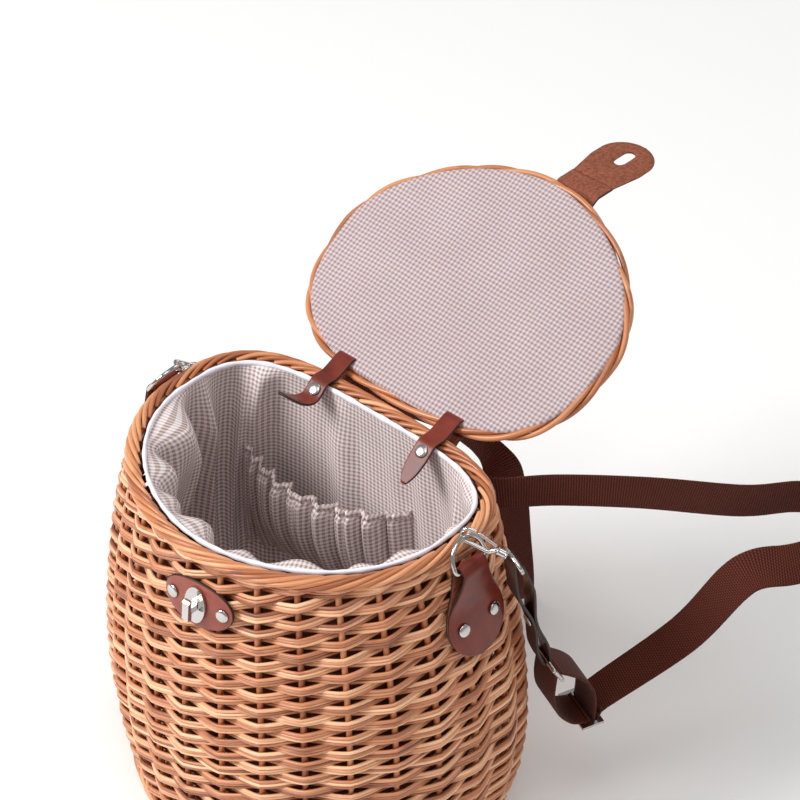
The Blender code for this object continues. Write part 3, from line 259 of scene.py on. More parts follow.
LINING_PUFFS = (
    (0.640, 0.013, 0.010, 0.03),
    (0.795, 0.036, 0.033, -0.03),
    (0.870, 0.022, 0.024, 0.03),
    (0.925, 0.018, 0.018, -0.02),
    (0.975, 0.026, 0.025, 0.02),
    (0.045, 0.020, 0.018, -0.03),
    (0.105, 0.030, 0.023, 0.0),
    (0.17, 0.018, 0.016, 0.02),
    (0.22, 0.026, 0.020, -0.02),
    (0.285, 0.018, 0.012, -0.03),
    (0.35, 0.024, 0.008, 0.0),
)
LINING_PLEATS = (
    (0.660, 0.010, 0.014, 0.02),
    (0.715, 0.010, 0.018, -0.02),
    (0.765, 0.011, 0.015, 0.03),
    (0.82, 0.012, 0.010, 0.02),
    (0.90, 0.014, 0.007, 0.02),
    (0.02, 0.014, 0.006, 0.02),
    (0.12, 0.011, 0.007, 0.02),
    (0.20, 0.009, 0.010, -0.03),
    (0.255, 0.009, 0.012, 0.03),
    (0.315, 0.010, 0.011, 0.02),
    (0.385, 0.009, 0.006, -0.03),
)
POCKET_PUFF = 0.006
FRILL_PROFILE = (
    (0.0015, 0.0006),
    (-0.0012, 0.0022),
    (-0.0042, 0.0016),
    (-0.0056, 0.0002),
    (-0.0040, -0.0010),
    (-0.0008, -0.0012),
)
POCKET_PLEAT = 0.0072
POCKET_PLEATS = ((9, 1.0, 0.3), (13, 0.35, 2.2), (29, 0.12, 1.0))
TAB_SHARES = (0.3, 0.45, 0.54, 0.62, 0.70, 0.77, 0.84, 0.90, 0.945, 0.975, 0.992, 1.0)
HINGE_TAIL_WAYS = (0.0, 0.002, 0.006, 0.012, 0.020)
HINGE_TAIL_WIDTHS = (0.22, 0.42, 0.66, 0.88, 1.0)
TONGUE_SLOT_REACH = 0.0559
TONGUE_JOIN = 0.018
TONGUE_ROOT_WAYS = (0, 0.004, 0.010, 0.018)
TONGUE_ROOT_WIDTHS = (0.30, 0.72, 0.95, 1.0)
TONGUE_ROUND_SHARES = (0.15, 0.3, 0.45, 0.6, 0.75, 0.87, 0.95, 0.99)
BARREL_SHARES = (0.0, 0.03, 0.10, 0.14, 0.22, 0.75, 0.83, 0.87, 0.97, 1.0)
BARREL_SIZES = (0.70, 0.95, 1.0, 0.86, 0.86, 0.86, 0.86, 1.0, 0.95, 0.70)
WEB_RIB = 0.0019
WEB_WARP = 0.0022
WORLD_LIGHT = 0.37
KEPT = {
    "basket_base": "board",
    "lock_base": "nickel",
    "lock_backing": "nickel",
    "lock_toggle": "nickel",
    "strap_slider_left": "nickel",
    "strap_slider_right": "nickel",
}
RIM_ROD = 0.00195
RIM_HELIX = 0.0043
FOOT_ROD = 0.0019
FOOT_HELIX = 0.0038
BORDER_SPANS = 4.6
BORDER_TAPER_WAYS = (0, 0.1, 0.85, 1)
BORDER_TAPER = (0.9, 1, 0.9, 0.65)
BORDER_CORE_SHARE = 0.6
RIM_SEED = 11
FOOT_SEED = 13
WALL_SEED = 7
LID_BORDER_SEED = 23
LID_WEAVE_SEED = 31

# The straps' free run, in shares of ROUTE_REACH from the back patch.
RIGHT_ROUTE_SHARES = (
    (0.95, 0.10, 0.08),
    (1.25, 0.40, 0.09),
    (1.74, 0.83, 0.07),
    (2.20, 1.39, -0.10),
    (2.48, 1.80, -0.17),
    (2.76, 1.88, -0.27),
    (2.88, 1.67, -0.35),
    (2.74, 1.34, -0.36),
    (2.50, 1.05, -0.42),
    (2.18, 0.82, -1.04),
)
LEFT_ROUTE_SHARES = (
    (-1.00, 0.12, -0.14),
    (-1.24, 0.42, -0.40),
    (-1.16, 0.80, -0.55),
    (-0.80, 1.02, -0.58),
    (-0.34, 1.08, -0.56),
    (0.10, 1.08, -0.68),
    (0.23, 1.10, -0.98),
    (0.26, 1.14, -1.50),
    (0.24, 1.22, -2.05),
    (0.04, 1.40, -2.42),
    (-0.42, 1.62, -2.47),
    (-1.00, 1.74, -2.36),
    (-1.60, 1.56, -2.02),
    (-1.98, 1.20, -1.66),
    (-2.02, 0.98, -1.58),
    (-1.86, 0.76, -1.66),
)

# Lamps: place, size in metres and power in watts.
LAMPS = {
    "key": ((-1.3, -1.8, 2.1), (1.2, 1.2), 76),
    "fill": ((1.2, -0.5, 2.6), (1.4, 1.4), 9),
    "back": ((0.3, 2.2, 2.2), (1.8, 1.2), 14),
    "top": ((0.3, -0.7, 3.0), (1.2, 1.2), 12),
}

# Plan curves and places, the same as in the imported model.


def unit(vector):
    return np.asarray(vector, float) / np.linalg.norm(vector)


def oval(half_width, front, back, front_power, back_power):
    """Points of a plan from the front middle round by +X, evenly spaced."""
    turn = np.linspace(-math.pi / 2, 1.5 * math.pi, 4 * DENSE_STATIONS + 1)
    power = np.where(np.sin(turn) >= 0, back_power, front_power)
    depth = np.where(np.sin(turn) >= 0, back, front)
    x = half_width * np.sign(np.cos(turn)) * np.abs(np.cos(turn)) ** (2 / power)
    y = depth * np.sign(np.sin(turn)) * np.abs(np.sin(turn)) ** (2 / power)
    way = np.r_[0, np.cumsum(np.hypot(np.diff(x), np.diff(y)))]
    even = np.linspace(0, way[-1], DENSE_STATIONS + 1)
    return np.interp(even, way, x), np.interp(even, way, y), way[-1]


def belly_share(z):
    way = (MOUTH_HEIGHT - z - BELLY_DEPTH) / BELLY_DEPTH
    return 1 - way * way * (LOWER_TUCK_SHARE if way > 0 else 1)


OVALS = {}


def bulged_oval(z, reach, follow):
    """The plan at height z, kept for the next call at about the same height."""
    key = (round(z, 4), reach, follow)
    if key not in OVALS:
        g = belly_share(min(z, MOUTH_HEIGHT)) * follow
        OVALS[key] = oval(
            MOUTH_HALF_WIDTH + reach + SIDE_BULGE * g,
            MOUTH_FRONT + reach + FRONT_BULGE * g,
            MOUTH_BACK + reach + BACK_BULGE * g,
            FRONT_POWER,
            BACK_POWER,
        )
    return OVALS[key]


def wall_oval(z):
    return bulged_oval(z, WALL_REACH, 1.0)


def lining_oval(z):
    return bulged_oval(z, 0.0, LINING_FOLLOW_SHARE)


def mouth_oval():
    return bulged_oval(MOUTH_HEIGHT + BELLY_DEPTH, 0.0, 0.0)


def on_oval(shape, share, along=0.0, lift=0.0):
    """The point at a share of the way round an oval, its outward normal and its tangent."""
    x, y, length = shape
    way = (share + along / length) % 1.0 * DENSE_STATIONS
    i = int(way) % DENSE_STATIONS
    part = way - int(way)
    point = np.array([x[i] + (x[i + 1] - x[i]) * part, y[i] + (y[i + 1] - y[i]) * part])
    before, after = i - 1 if i else DENSE_STATIONS - 1, (i + 2) % DENSE_STATIONS
    tangent = unit([x[after] - x[before], y[after] - y[before]])
    normal = np.array([tangent[1], -tangent[0]])
    return point + normal * lift, normal, tangent


def wall_point(share, along, z, lift):
    return np.array([*on_oval(wall_oval(z), share, along, lift)[0], z])


def share_at(shape, x=None, y=None, side=1):
    xs, ys, _ = shape
    if y is not None:
        near = np.where(np.sign(xs) == side, np.abs(ys - y), np.inf)
    else:
        near = np.where(np.sign(ys) == -side, np.abs(xs - x), np.inf)
    return float(np.argmin(near)) / DENSE_STATIONS


def depth_at(shape, x, lift=0.0, back=True):
    middle = 0.5 if back else 0.0
    points = [on_oval(shape, middle + step, lift=lift)[0] for step in np.linspace(-0.12, 0.12, 49)]
    points = sorted(points, key=lambda point: point[0])
    return float(np.interp(x, [p[0] for p in points], [p[1] for p in points]))


def curve_span(a, b, c, d, steps):
    """A Catmull-Rom curve's points from b up to c, without c itself."""
    made = []
    for t in np.arange(steps) / steps:
        part = 2 * b + (c - a) * t + (2 * a - 5 * b + 4 * c - d) * t * t
        made.append((part + (3 * b - a - 3 * c + d) * t**3) / 2)
    return made


def smooth_path(points, steps):
    """A smooth curve through points, with steps pieces to a span."""
    points = np.asarray(points, float)
    ends = np.vstack([2 * points[0] - points[1], points, 2 * points[-1] - points[-2]])
    made = []
    for keys in zip(ends[:-3], ends[1:-2], ends[2:-1], ends[3:]):
        made += curve_span(*keys, steps)
    made.append(points[-1])
    return np.array(made)


def smooth_ring(points, steps):
    """The same curve through points that close on themselves."""
    points = np.asarray(points, float)
    count = len(points)
    made = []
    for i in range(count):
        keys = [points[(i + k) % count] for k in (-1, 0, 1, 2)]
        made += curve_span(*keys, steps)
    return np.array(made)


def way_along(path):
    """Metres along a path at each of its points."""
    return np.r_[0, np.cumsum(np.linalg.norm(np.diff(path, axis=0), axis=1))]


def arc(centre, radius, turns):
    """Points on a circle in a plane, at turns in degrees."""
    turns = np.radians(turns)
    return [(centre[0] + radius * math.cos(t), centre[1] + radius * math.sin(t)) for t in turns]


def hinge_axis():
    return np.array([0, MOUTH_BACK + HINGE_REACH, MOUTH_HEIGHT + HINGE_RISE])


def lid_point(x, along, up, angle=LID_OPEN_ANGLE):
    ahead = np.array([0, -math.cos(angle), math.sin(angle)])
    rise = np.array([0, math.sin(angle), math.cos(angle)])
    return hinge_axis() + np.array([x, 0, 0]) + ahead * along + rise * up


def lid_length():
    return LID_FRONT_DEPTH + LID_BACK_DEPTH - LID_BACK_REACH


def lid_oval():
    if "lid" not in OVALS:
        powers = (LID_FRONT_POWER, LID_BACK_POWER)
        OVALS["lid"] = oval(LID_HALF_WIDTH, LID_FRONT_DEPTH, LID_BACK_DEPTH, *powers)
    return OVALS["lid"]


def lid_edge(share, inset, up):
    x, y = on_oval(lid_oval(), share, lift=-inset)[0]
    return lid_point(x, LID_BACK_DEPTH - LID_BACK_REACH - y, up)


# Meshes.


class Shape:
    """Gathers the points, faces, UVs, tones and material numbers of one mesh."""

    def __init__(self):
        self.points = []
        self.faces = []
        self.uvs = []
        self.tones = []
        self.looks = []

    def add(self, points, faces, uvs, tone, look=0):
        first = len(self.points)
        self.points.extend(points)
        self.faces.extend([tuple(first + i for i in face) for face in faces])
        self.uvs.extend(uvs)
        self.tones.extend([tone] * len(points))
        looks = look if isinstance(look, list) else [look] * len(faces)
        self.looks.extend(looks)

    def build(self, name, materials, slot, body):
        mesh = bpy.data.meshes.new(name)
        mesh.from_pydata([tuple(p) for p in self.points], [], self.faces)
        layer = mesh.uv_layers.new(name="metres")
        flat = np.array([uv for face in self.uvs for uv in face], float)
        layer.data.foreach_set("uv", flat.ravel())
        tone = mesh.attributes.new("tone", "FLOAT", "POINT")
        tone.data.foreach_set("value", np.array(self.tones, float))
        for material in materials:
            mesh.materials.append(material)
        mesh.polygons.foreach_set("material_index", np.array(self.looks, int))
        mesh.polygons.foreach_set("use_smooth", np.ones(len(self.faces), bool))
        mesh.validate()
        mesh.update()
        piece = bpy.data.objects.new(name, mesh)
        bpy.context.scene.collection.objects.link(piece)
        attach(piece, body)
        return piece


def ring_faces(rows, size):
    """Faces between closed rings of size points each."""
    faces = []
    for i in range(rows - 1):
        for k in range(size):
            m = (k + 1) % size
            faces.append((i * size + k, i * size + m, (i + 1) * size + m, (i + 1) * size + k))
    return faces


def add_tube(shape, path, radius, sides=8, closed=False, tone=0.5, start=0.0, hint=(0, 0, 1), look=0):
    """A round rod along a path; its UVs are metres along and round it."""
    path = np.asarray(path, float)
    count = len(path)
    radius = np.broadcast_to(np.asarray(radius, float), count)
    if closed:
        ahead = np.roll(path, -1, 0) - np.roll(path, 1, 0)
    else:
        ahead = np.gradient(path, axis=0)
    ahead /= np.linalg.norm(ahead, axis=1)[:, None]
    hint = np.broadcast_to(np.asarray(hint, float), path.shape)
    side = np.cross(hint, ahead)
    short = np.linalg.norm(side, axis=1) < 1e-3
    side[short] = np.cross((0.3, 1, 0.2), ahead[short])
    side /= np.linalg.norm(side, axis=1)[:, None]
    over = np.cross(ahead, side)
    turns = np.arange(sides) * 2 * math.pi / sides
    points = path[:, None, :] + radius[:, None, None] * (
        side[:, None, :] * np.cos(turns)[None, :, None] + over[:, None, :] * np.sin(turns)[None, :, None]
    )
    way = start + way_along(path)
    girth = 2 * math.pi * float(radius.mean()) / sides
    faces, uvs = [], []
    spans = count if closed else count - 1
    step = float(np.linalg.norm(path[0] - path[-1]))
    for i in range(spans):
        j = (i + 1) % count
        ahead_way = way[j] if j else way[-1] + step
        for k in range(sides):
            m = (k + 1) % sides
            faces.append((i * sides + k, i * sides + m, j * sides + m, j * sides + k))
            uvs.append(
                (
                    (way[i], k * girth),
                    (way[i], (k + 1) * girth),
                    (ahead_way, (k + 1) * girth),
                    (ahead_way, k * girth),
                )
            )
    if not closed:
        for row, order in ((0, -1), (count - 1, 1)):
            ring = [row * sides + k for k in range(sides)][::order]
            faces.append(tuple(ring))
            uvs.append(tuple((way[row], 0.0) for _ in ring))
    shape.add([tuple(p) for p in points.reshape(-1, 3)], faces, uvs, tone, look)


def add_sheet(shape, grid, closed=False, tone=0.5, look=0, scale=None, flip=False):
    """A single surface through rows of points; its UVs are metres along a row and down the rows."""
    grid = np.asarray(grid, float)
    rows, columns = grid.shape[:2]
    if scale is None:
        row_steps = np.linalg.norm(np.diff(grid, axis=1), axis=2).mean(0)
        across = np.r_[0, np.cumsum(row_steps)]
        down = np.r_[0, np.cumsum(np.linalg.norm(np.diff(grid, axis=0), axis=2).mean(1))]
    else:
        across, down = scale
    faces, uvs = [], []
    spans = columns if closed else columns - 1
    wrap = across[-1] + float(np.linalg.norm(grid[:, 0] - grid[:, -1], axis=1).mean())
    for i in range(rows - 1):
        for j in range(spans):
            k = (j + 1) % columns
            ends = (across[j], across[k] if k else wrap)
            face = [i * columns + j, i * columns + k, (i + 1) * columns + k, (i + 1) * columns + j]
            uv = [(ends[0], down[i]), (ends[1], down[i]), (ends[1], down[i + 1]), (ends[0], down[i + 1])]
            if flip:
                face, uv = face[::-1], uv[::-1]
            faces.append(tuple(face))
            uvs.append(tuple(uv))
    shape.add([tuple(p) for p in grid.reshape(-1, 3)], faces, uvs, tone, look)


def add_plate(shape, top, bottom, edge=0.25, closed=False):
    """Leather or webbing: rows of top and bottom points with rounded edges; looks are top, edge, bottom."""
    top = np.asarray(top, float)
    bottom = np.asarray(bottom, float)
    rows, columns = top.shape[:2]
    ring_points = []
    for upper, lower in zip(top, bottom):
        thick = np.linalg.norm(upper[0] - lower[0])
        left = (upper[0] + lower[0]) / 2 + unit(upper[0] - upper[1]) * thick * edge
        right = (upper[-1] + lower[-1]) / 2 + unit(upper[-1] - upper[-2]) * thick * edge
        ring_points.append([*upper, right, *lower[::-1], left])
    grid = np.array(ring_points)
    size = grid.shape[1]
    across = np.r_[0, np.cumsum(np.linalg.norm(np.diff(grid, axis=1), axis=2).mean(0))]
    middle = (top + bottom)[:, columns // 2] / 2
    down = way_along(middle)
    faces, uvs, looks = [], [], []
    spans = rows if closed else rows - 1
    for i in range(spans):
        j = (i + 1) % rows
        end = down[j] if j else down[-1] + float(np.linalg.norm(middle[0] - middle[-1]))
        for k in range(size):
            m = (k + 1) % size
            faces.append((i * size + k, i * size + m, j * size + m, j * size + k))
            wide = (across[k], across[m] if m else across[-1] + LEATHER)
            uvs.append(((down[i], wide[0]), (down[i], wide[1]), (end, wide[1]), (end, wide[0])))
            if k < columns - 1:
                looks.append(0)
            elif columns < k < 2 * columns:
                looks.append(2)
            else:
                looks.append(1)
    if not closed:
        for row, order in ((0, -1), (rows - 1, 1)):
            face = tuple([row * size + k for k in range(size)][::order])
            faces.append(face)
            uvs.append(tuple((down[row], across[k % size]) for k in range(size)))
            looks.append(1)
    shape.add([tuple(p) for p in grid.reshape(-1, 3)], faces, uvs, 0.5, looks)


def strip_rows(path, across, width, thickness, columns=5, closed=False):
    """Top and bottom rows of a flat strip along a path, with its width along across."""
    path = np.asarray(path, float)
    across = np.broadcast_to(np.asarray(across, float), path.shape)
    width = np.broadcast_to(width, len(path))
    top, bottom = [], []
    shares = np.array([-1, -0.9, *np.linspace(-0.5, 0.5, columns - 2), 0.9, 1])
    for i, point in enumerate(path):
        if closed:
            ahead = unit(path[(i + 1) % len(path)] - path[i - 1])
        else:
            ahead = unit(path[min(i + 1, len(path) - 1)] - path[max(i - 1, 0)])
        face = unit(np.cross(ahead, across[i]))
        side = np.cross(face, ahead) * width[i] / 2
        top.append([point + side * s + face * thickness / 2 for s in shares])
        bottom.append([point + side * s - face * thickness / 2 for s in shares])
    return top, bottom


def add_dome(shape, centre, normal, radius, height, rise_share=0.55, count=20, hint=(0, 0, 1)):
    """A rivet's head: a short wall and a low dome over it."""
    normal = unit(normal)
    side = np.cross(hint, normal)
    if np.linalg.norm(side) < 1e-3:
        side = np.cross((1, 0, 0), normal)
    side = unit(side)
    over = np.cross(normal, side)
    straight = height * (1 - rise_share)
    profile = [(radius, 0.0), (radius, straight * 0.7), (radius * 0.97, straight)]
    for turn in np.radians((25, 45, 65, 80)):
        rise = height * (1 - rise_share + rise_share * math.sin(turn))
        profile.append((radius * 0.95 * math.cos(turn), rise))
    points = []
    for reach, lift in profile:
        for turn in np.arange(count) * 2 * math.pi / count:
            points.append(centre + normal * lift + (side * math.cos(turn) + over * math.sin(turn)) * reach)
    top = len(points)
    points.append(centre + normal * height)
    faces = ring_faces(len(profile), count)
    last = (len(profile) - 1) * count
    faces += [(last + k, last + (k + 1) % count, top) for k in range(count)]
    faces.append(tuple(range(count))[::-1])
    uvs = [tuple((0.0, 0.0) for _ in face) for face in faces]
    shape.add([tuple(p) for p in points], faces, uvs, 0.5)


def add_oval_plate(shape, place, half_width, half_height, thickness, power=2.0, count=56):
    """A leather plate over a surface, with rounded edges; place(a, b, lift) gives the surface's points."""
    soft = thickness * 0.35
    profile = [(share, thickness, 0.0) for share in (0.25, 0.5, 0.75)]
    profile += [(1.0, thickness, soft), (1.0, thickness - soft * 0.3, soft * 0.3)]
    profile += [(1.0, soft * 0.3, 0.0), (1.0, 0.0, soft * 0.5), (0.6, 0.0, 0.0), (0.2, 0.0, 0.0)]
    looks = [0, 0, 0, 0, 1, 1, 2, 2, 2]
    points, flat = [], []
    for share, lift, inset in profile:
        for turn in np.arange(count) * 2 * math.pi / count:
            c, s = math.cos(turn), math.sin(turn)
            a = (share * half_width - inset) * math.copysign(abs(c) ** (2 / power), c)
            b = (share * half_height - inset) * math.copysign(abs(s) ** (2 / power), s)
            points.append(tuple(place(a, b, lift)))
            flat.append((a, b))
    faces, uvs, face_looks = [], [], []
    for i in range(len(profile) - 1):
        for k in range(count):
            m = (k + 1) % count
            face = (i * count + k, (i + 1) * count + k, (i + 1) * count + m, i * count + m)
            faces.append(face)
            uvs.append(tuple(flat[j] for j in face))
            face_looks.append(looks[i + 1] if i >= 3 else 0)
    for row, lift, look in ((0, thickness, 0), (len(profile) - 1, 0.0, 2)):
        middle = len(points)
        points.append(tuple(place(0, 0, lift)))
        flat.append((0.0, 0.0))
        for k in range(count):
            m = (k + 1) % count
            face = (row * count + k, row * count + m, middle)
            face = face if look == 0 else face[::-1]
            faces.append(face)
            uvs.append(tuple(flat[j] for j in face))
            face_looks.append(look)
    shape.add(points, faces, uvs, 0.5, face_looks)


# Materials.


def linear(red, green, blue):
    """An sRGB colour of 0 to 255 as the linear colour that a shader takes."""
    made = []
    for value in (red, green, blue):
        share = value / 255
        made.append(share / 12.92 if share <= 0.04045 else ((share + 0.055) / 1.055) ** 2.4)
    return (*made, 1.0)


class Look:
    """A material's node tree, with short calls to add and join nodes."""

    def __init__(self, name, roughness, specular=0.5, metallic=0.0):
        self.material = bpy.data.materials.new(name)
        self.material.use_nodes = True
        self.tree = self.material.node_tree
        self.shader = self.tree.nodes["Principled BSDF"]
        self.shader.inputs["Roughness"].default_value = roughness
        self.shader.inputs["Specular IOR Level"].default_value = specular
        self.shader.inputs["Metallic"].default_value = metallic

    def node(self, kind, **values):
        made = self.tree.nodes.new(kind)
        for key, value in values.items():
            if key in made.inputs:
                self.put(value, made.inputs[key])
            else:
                setattr(made, key, value)
        return made

    def put(self, value, socket):
        if isinstance(value, bpy.types.NodeSocket):
            self.tree.links.new(value, socket)
        else:
            socket.default_value = value

    def math(self, operation, first, second=0.0, third=0.0):
        made = self.node("ShaderNodeMath", operation=operation)
        for value, socket in zip((first, second, third), made.inputs):
            self.put(value, socket)
        return made.outputs[0]

    def mix(self, share, first, second, blend="MIX"):
        made = self.node("ShaderNodeMix", data_type="RGBA", blend_type=blend)
        self.put(share, made.inputs["Factor"])
        self.put(first, made.inputs["A"])
        self.put(second, made.inputs["B"])
        return made.outputs["Result"]

    def ramp(self, value, stops):
        made = self.node("ShaderNodeValToRGB")
        self.put(value, made.inputs["Fac"])
        while len(made.color_ramp.elements) < len(stops):
            made.color_ramp.elements.new(0.5)
        for element, (place, colour) in zip(made.color_ramp.elements, stops):
            element.position = place
            element.color = colour
        return made.outputs["Color"]

    def noise(self, vector, scale, detail=3.0, roughness=0.5):
        made = self.node("ShaderNodeTexNoise", Scale=scale, Detail=detail, Roughness=roughness)
        if vector is not None:
            self.put(vector, made.inputs["Vector"])
        return made.outputs["Fac"]

    def stretched(self, vector, scale):
        made = self.node("ShaderNodeMapping")
        self.put(vector, made.inputs["Vector"])
        self.put(scale, made.inputs["Scale"])
        return made.outputs["Vector"]

    def uv(self):
        return self.node("ShaderNodeTexCoord").outputs["UV"]

    def place(self):
        return self.node("ShaderNodeTexCoord").outputs["Object"]

    def tone(self):
        return self.node("ShaderNodeAttribute", attribute_name="tone").outputs["Fac"]

    def colour(self, value):
        self.put(value, self.shader.inputs["Base Color"])

    def rough(self, value):
        self.put(value, self.shader.inputs["Roughness"])

    def bump(self, height, distance, strength=1.0):
        made = self.node("ShaderNodeBump", Strength=strength, Distance=distance)
        self.put(height, made.inputs["Height"])
        self.put(made.outputs["Normal"], self.shader.inputs["Normal"])


def willow_look(name, dark, middle, light, roughness):
    """Peeled, varnished willow: streaks along the rod, a tone for each rod and darker knots."""
    look = Look(name, roughness, specular=0.5)
    uv = look.uv()
    streak = look.noise(look.stretched(uv, (18.0, 900.0, 1.0)), 1.0, 4.0, 0.6)
    patch = look.noise(look.stretched(uv, (22.0, 40.0, 1.0)), 1.0, 2.0, 0.5)
    mixed = look.math("MULTIPLY_ADD", streak, 0.45, look.math("MULTIPLY", patch, 0.30))
    mixed = look.math("ADD", mixed, look.math("MULTIPLY", look.tone(), 0.50))
    base = look.ramp(mixed, ((0.28, dark), (0.62, middle), (0.92, light)))
    knots = look.noise(look.stretched(uv, (34.0, 60.0, 1.0)), 1.0, 1.0, 0.4)
    knot = look.ramp(knots, ((0.66, (1, 1, 1, 1)), (0.74, (0.62, 0.50, 0.42, 1))))
    look.colour(look.mix(0.8, base, knot, "MULTIPLY"))
    look.rough(look.math("MULTIPLY_ADD", patch, 0.25, roughness - 0.12))
    look.shader.inputs["Coat Weight"].default_value = 0.25
    look.shader.inputs["Coat Roughness"].default_value = 0.28
    look.bump(streak, 0.00025, 0.6)
    return look.material


def stripes(look, way, period):
    """0 on one half of each period and 1 on the other, with soft edges."""
    part = look.math("FRACT", look.math("DIVIDE", way, period))
    near = look.math("ABSOLUTE", look.math("SUBTRACT", part, 0.5))
    made = look.node("ShaderNodeMapRange", interpolation_type="SMOOTHSTEP")
    look.put(near, made.inputs["Value"])
    made.inputs["From Min"].default_value = 0.20
    made.inputs["From Max"].default_value = 0.30
    return made.outputs["Result"]


def gingham_look(name, period, white, half, full, painted_shade_back=None):
    """Woven checks: a band where one set of dyed threads crosses white, darker where two cross; back faces can
    take one flat painted shade colour instead.
    """
    look = Look(name, 0.9, specular=0.15)
    uv = look.uv()
    parts = look.node("ShaderNodeSeparateXYZ")
    look.put(uv, parts.inputs[0])
    waver = look.math("MULTIPLY_ADD", look.noise(uv, 40.0, 1.0), 0.0016, -0.0008)
    across = look.math("ADD", parts.outputs[0], waver)
    down = look.math("ADD", parts.outputs[1], waver)
    one = stripes(look, across, period)
    two = stripes(look, down, period)
    both = look.math("MULTIPLY", look.math("ADD", one, two), 0.5)
    colour = look.ramp(both, ((0.0, white), (0.5, half), (1.0, full)))
    thread = look.noise(look.stretched(uv, (2600.0, 2600.0, 1.0)), 1.0, 1.0)
    wash = look.noise(look.place(), 28.0, 2.0)
    worn = look.ramp(thread, ((0.3, (0.82, 0.80, 0.80, 1)), (0.7, (1, 1, 1, 1))))
    colour = look.mix(0.3, colour, worn, "MULTIPLY")
    tint = look.ramp(wash, ((0.3, (0.95, 0.94, 0.94, 1)), (0.7, (1, 1, 1, 1))))
    colour = look.mix(1.0, colour, tint, "MULTIPLY")
    # Painted shade: back faces take one flat dark colour in place of the checks, so the cloth seen through gaps
    # reads as shade.
    if painted_shade_back is not None:
        hidden = look.node("ShaderNodeNewGeometry").outputs["Backfacing"]
        colour = look.mix(hidden, colour, painted_shade_back)
    look.colour(colour)
    look.shader.inputs["Sheen Weight"].default_value = 0.10
    look.shader.inputs["Sheen Roughness"].default_value = 0.5
    look.bump(look.math("ADD", thread, look.math("MULTIPLY", both, 0.4)), 0.0001, 0.5)
    return look.material


def binding_look():
    """White cotton binding with a fine thread and slight clouds."""
    look = Look("binding", 0.85, specular=0.2)
    uv = look.uv()
    thread = look.noise(look.stretched(uv, (1700.0, 2400.0, 1.0)), 1.0, 1.0)
    soil = look.noise(look.place(), 60.0, 2.0)
    base = look.mix(soil, linear(232, 226, 236), linear(250, 248, 255))
    shade = look.ramp(thread, ((0.3, (0.7, 0.68, 0.7, 1)), (0.7, (1, 1, 1, 1))))
    look.colour(look.mix(0.25, base, shade, "MULTIPLY"))
    look.shader.inputs["Sheen Weight"].default_value = 0.2
    look.bump(thread, 0.00012, 0.7)
    return look.material


def leather_look(name, dark, light, roughness=0.34):
    """Smooth dyed leather: cloudy colour, a very fine grain and a soft shine."""
    look = Look(name, roughness, specular=0.32)
    place = look.place()
    grain = look.node("ShaderNodeTexVoronoi", Scale=1500.0, feature="DISTANCE_TO_EDGE")
    look.put(place, grain.inputs["Vector"])
    cloud = look.noise(place, 60.0, 3.0, 0.5)
    wide = look.noise(place, 22.0, 2.0, 0.5)
    blend = look.math("MULTIPLY_ADD", cloud, 0.5, look.math("MULTIPLY", wide, 0.5))
    base = look.ramp(blend, ((0.30, dark), (0.70, light)))
    pores = look.ramp(grain.outputs["Distance"], ((0.0, (0.80, 0.76, 0.74, 1)), (0.10, (1, 1, 1, 1))))
    look.colour(look.mix(0.25, base, pores, "MULTIPLY"))
    look.rough(look.math("MULTIPLY_ADD", cloud, 0.16, roughness - 0.08))
    look.shader.inputs["Coat Weight"].default_value = 0.16
    look.shader.inputs["Coat Roughness"].default_value = 0.16
    look.bump(grain.outputs["Distance"], 0.00006, 0.30)
    return look.material


def edge_look():
    """Painted and burnished leather edges, nearly black."""
    look = Look("leather_edge", 0.5, specular=0.4)
    cloud = look.noise(look.place(), 240.0, 3.0)
    look.colour(look.mix(cloud, linear(22, 14, 12), linear(62, 38, 30)))
    look.bump(cloud, 0.0002, 0.5)
    return look.material


def flesh_look(name, dark, light):
    """The fibrous inner side of leather."""
    look = Look(name, 0.85, specular=0.2)
    fibre = look.noise(look.place(), 420.0, 5.0, 0.7)
    look.colour(look.ramp(fibre, ((0.3, dark), (0.7, light))))
    look.bump(fibre, 0.0003, 0.6)
    return look.material


def webbing_look():
    """Brown webbing: ribs across it, and fine lines of warp that shift by half from rib to rib, with painted
    shade in the grooves between them.
    """
    look = Look("webbing", 0.8, specular=0.25)
    uv = look.uv()
    parts = look.node("ShaderNodeSeparateXYZ")
    look.put(uv, parts.inputs[0])
    rib_way = look.math("MULTIPLY", parts.outputs[0], 2 * math.pi / WEB_RIB)
    rib = look.math("MULTIPLY_ADD", look.math("SINE", rib_way), 0.5, 0.5)
    warp_way = look.math("MULTIPLY", parts.outputs[1], 2 * math.pi / WEB_WARP)
    rib_number = look.math("FLOOR", look.math("DIVIDE", parts.outputs[0], WEB_RIB))
    half = look.math("MULTIPLY", rib_number, math.pi)
    warp = look.math("MULTIPLY_ADD", look.math("SINE", look.math("ADD", warp_way, half)), 0.5, 0.5)
    thread = look.noise(look.stretched(uv, (900.0, 2600.0, 1.0)), 1.0, 2.0)
    high = look.math("MULTIPLY_ADD", rib, 0.6, look.math("MULTIPLY", warp, 0.4))
    # Painted shade: the colour runs from dark in the grooves to light on the tops of the ribs and warp.
    painted_groove_shade, middle, light = linear(40, 13, 7), linear(84, 32, 18), linear(118, 54, 33)
    base = look.ramp(high, ((0.1, painted_groove_shade), (0.55, middle), (0.95, light)))
    shade = look.ramp(thread, ((0.3, (0.62, 0.58, 0.56, 1)), (0.7, (1, 1, 1, 1))))
    look.colour(look.mix(0.4, base, shade, "MULTIPLY"))
    look.shader.inputs["Sheen Weight"].default_value = 0.06
    look.shader.inputs["Sheen Roughness"].default_value = 0.4
    look.bump(look.math("MULTIPLY_ADD", thread, 0.25, high), 0.0004, 0.8)
    return look.material


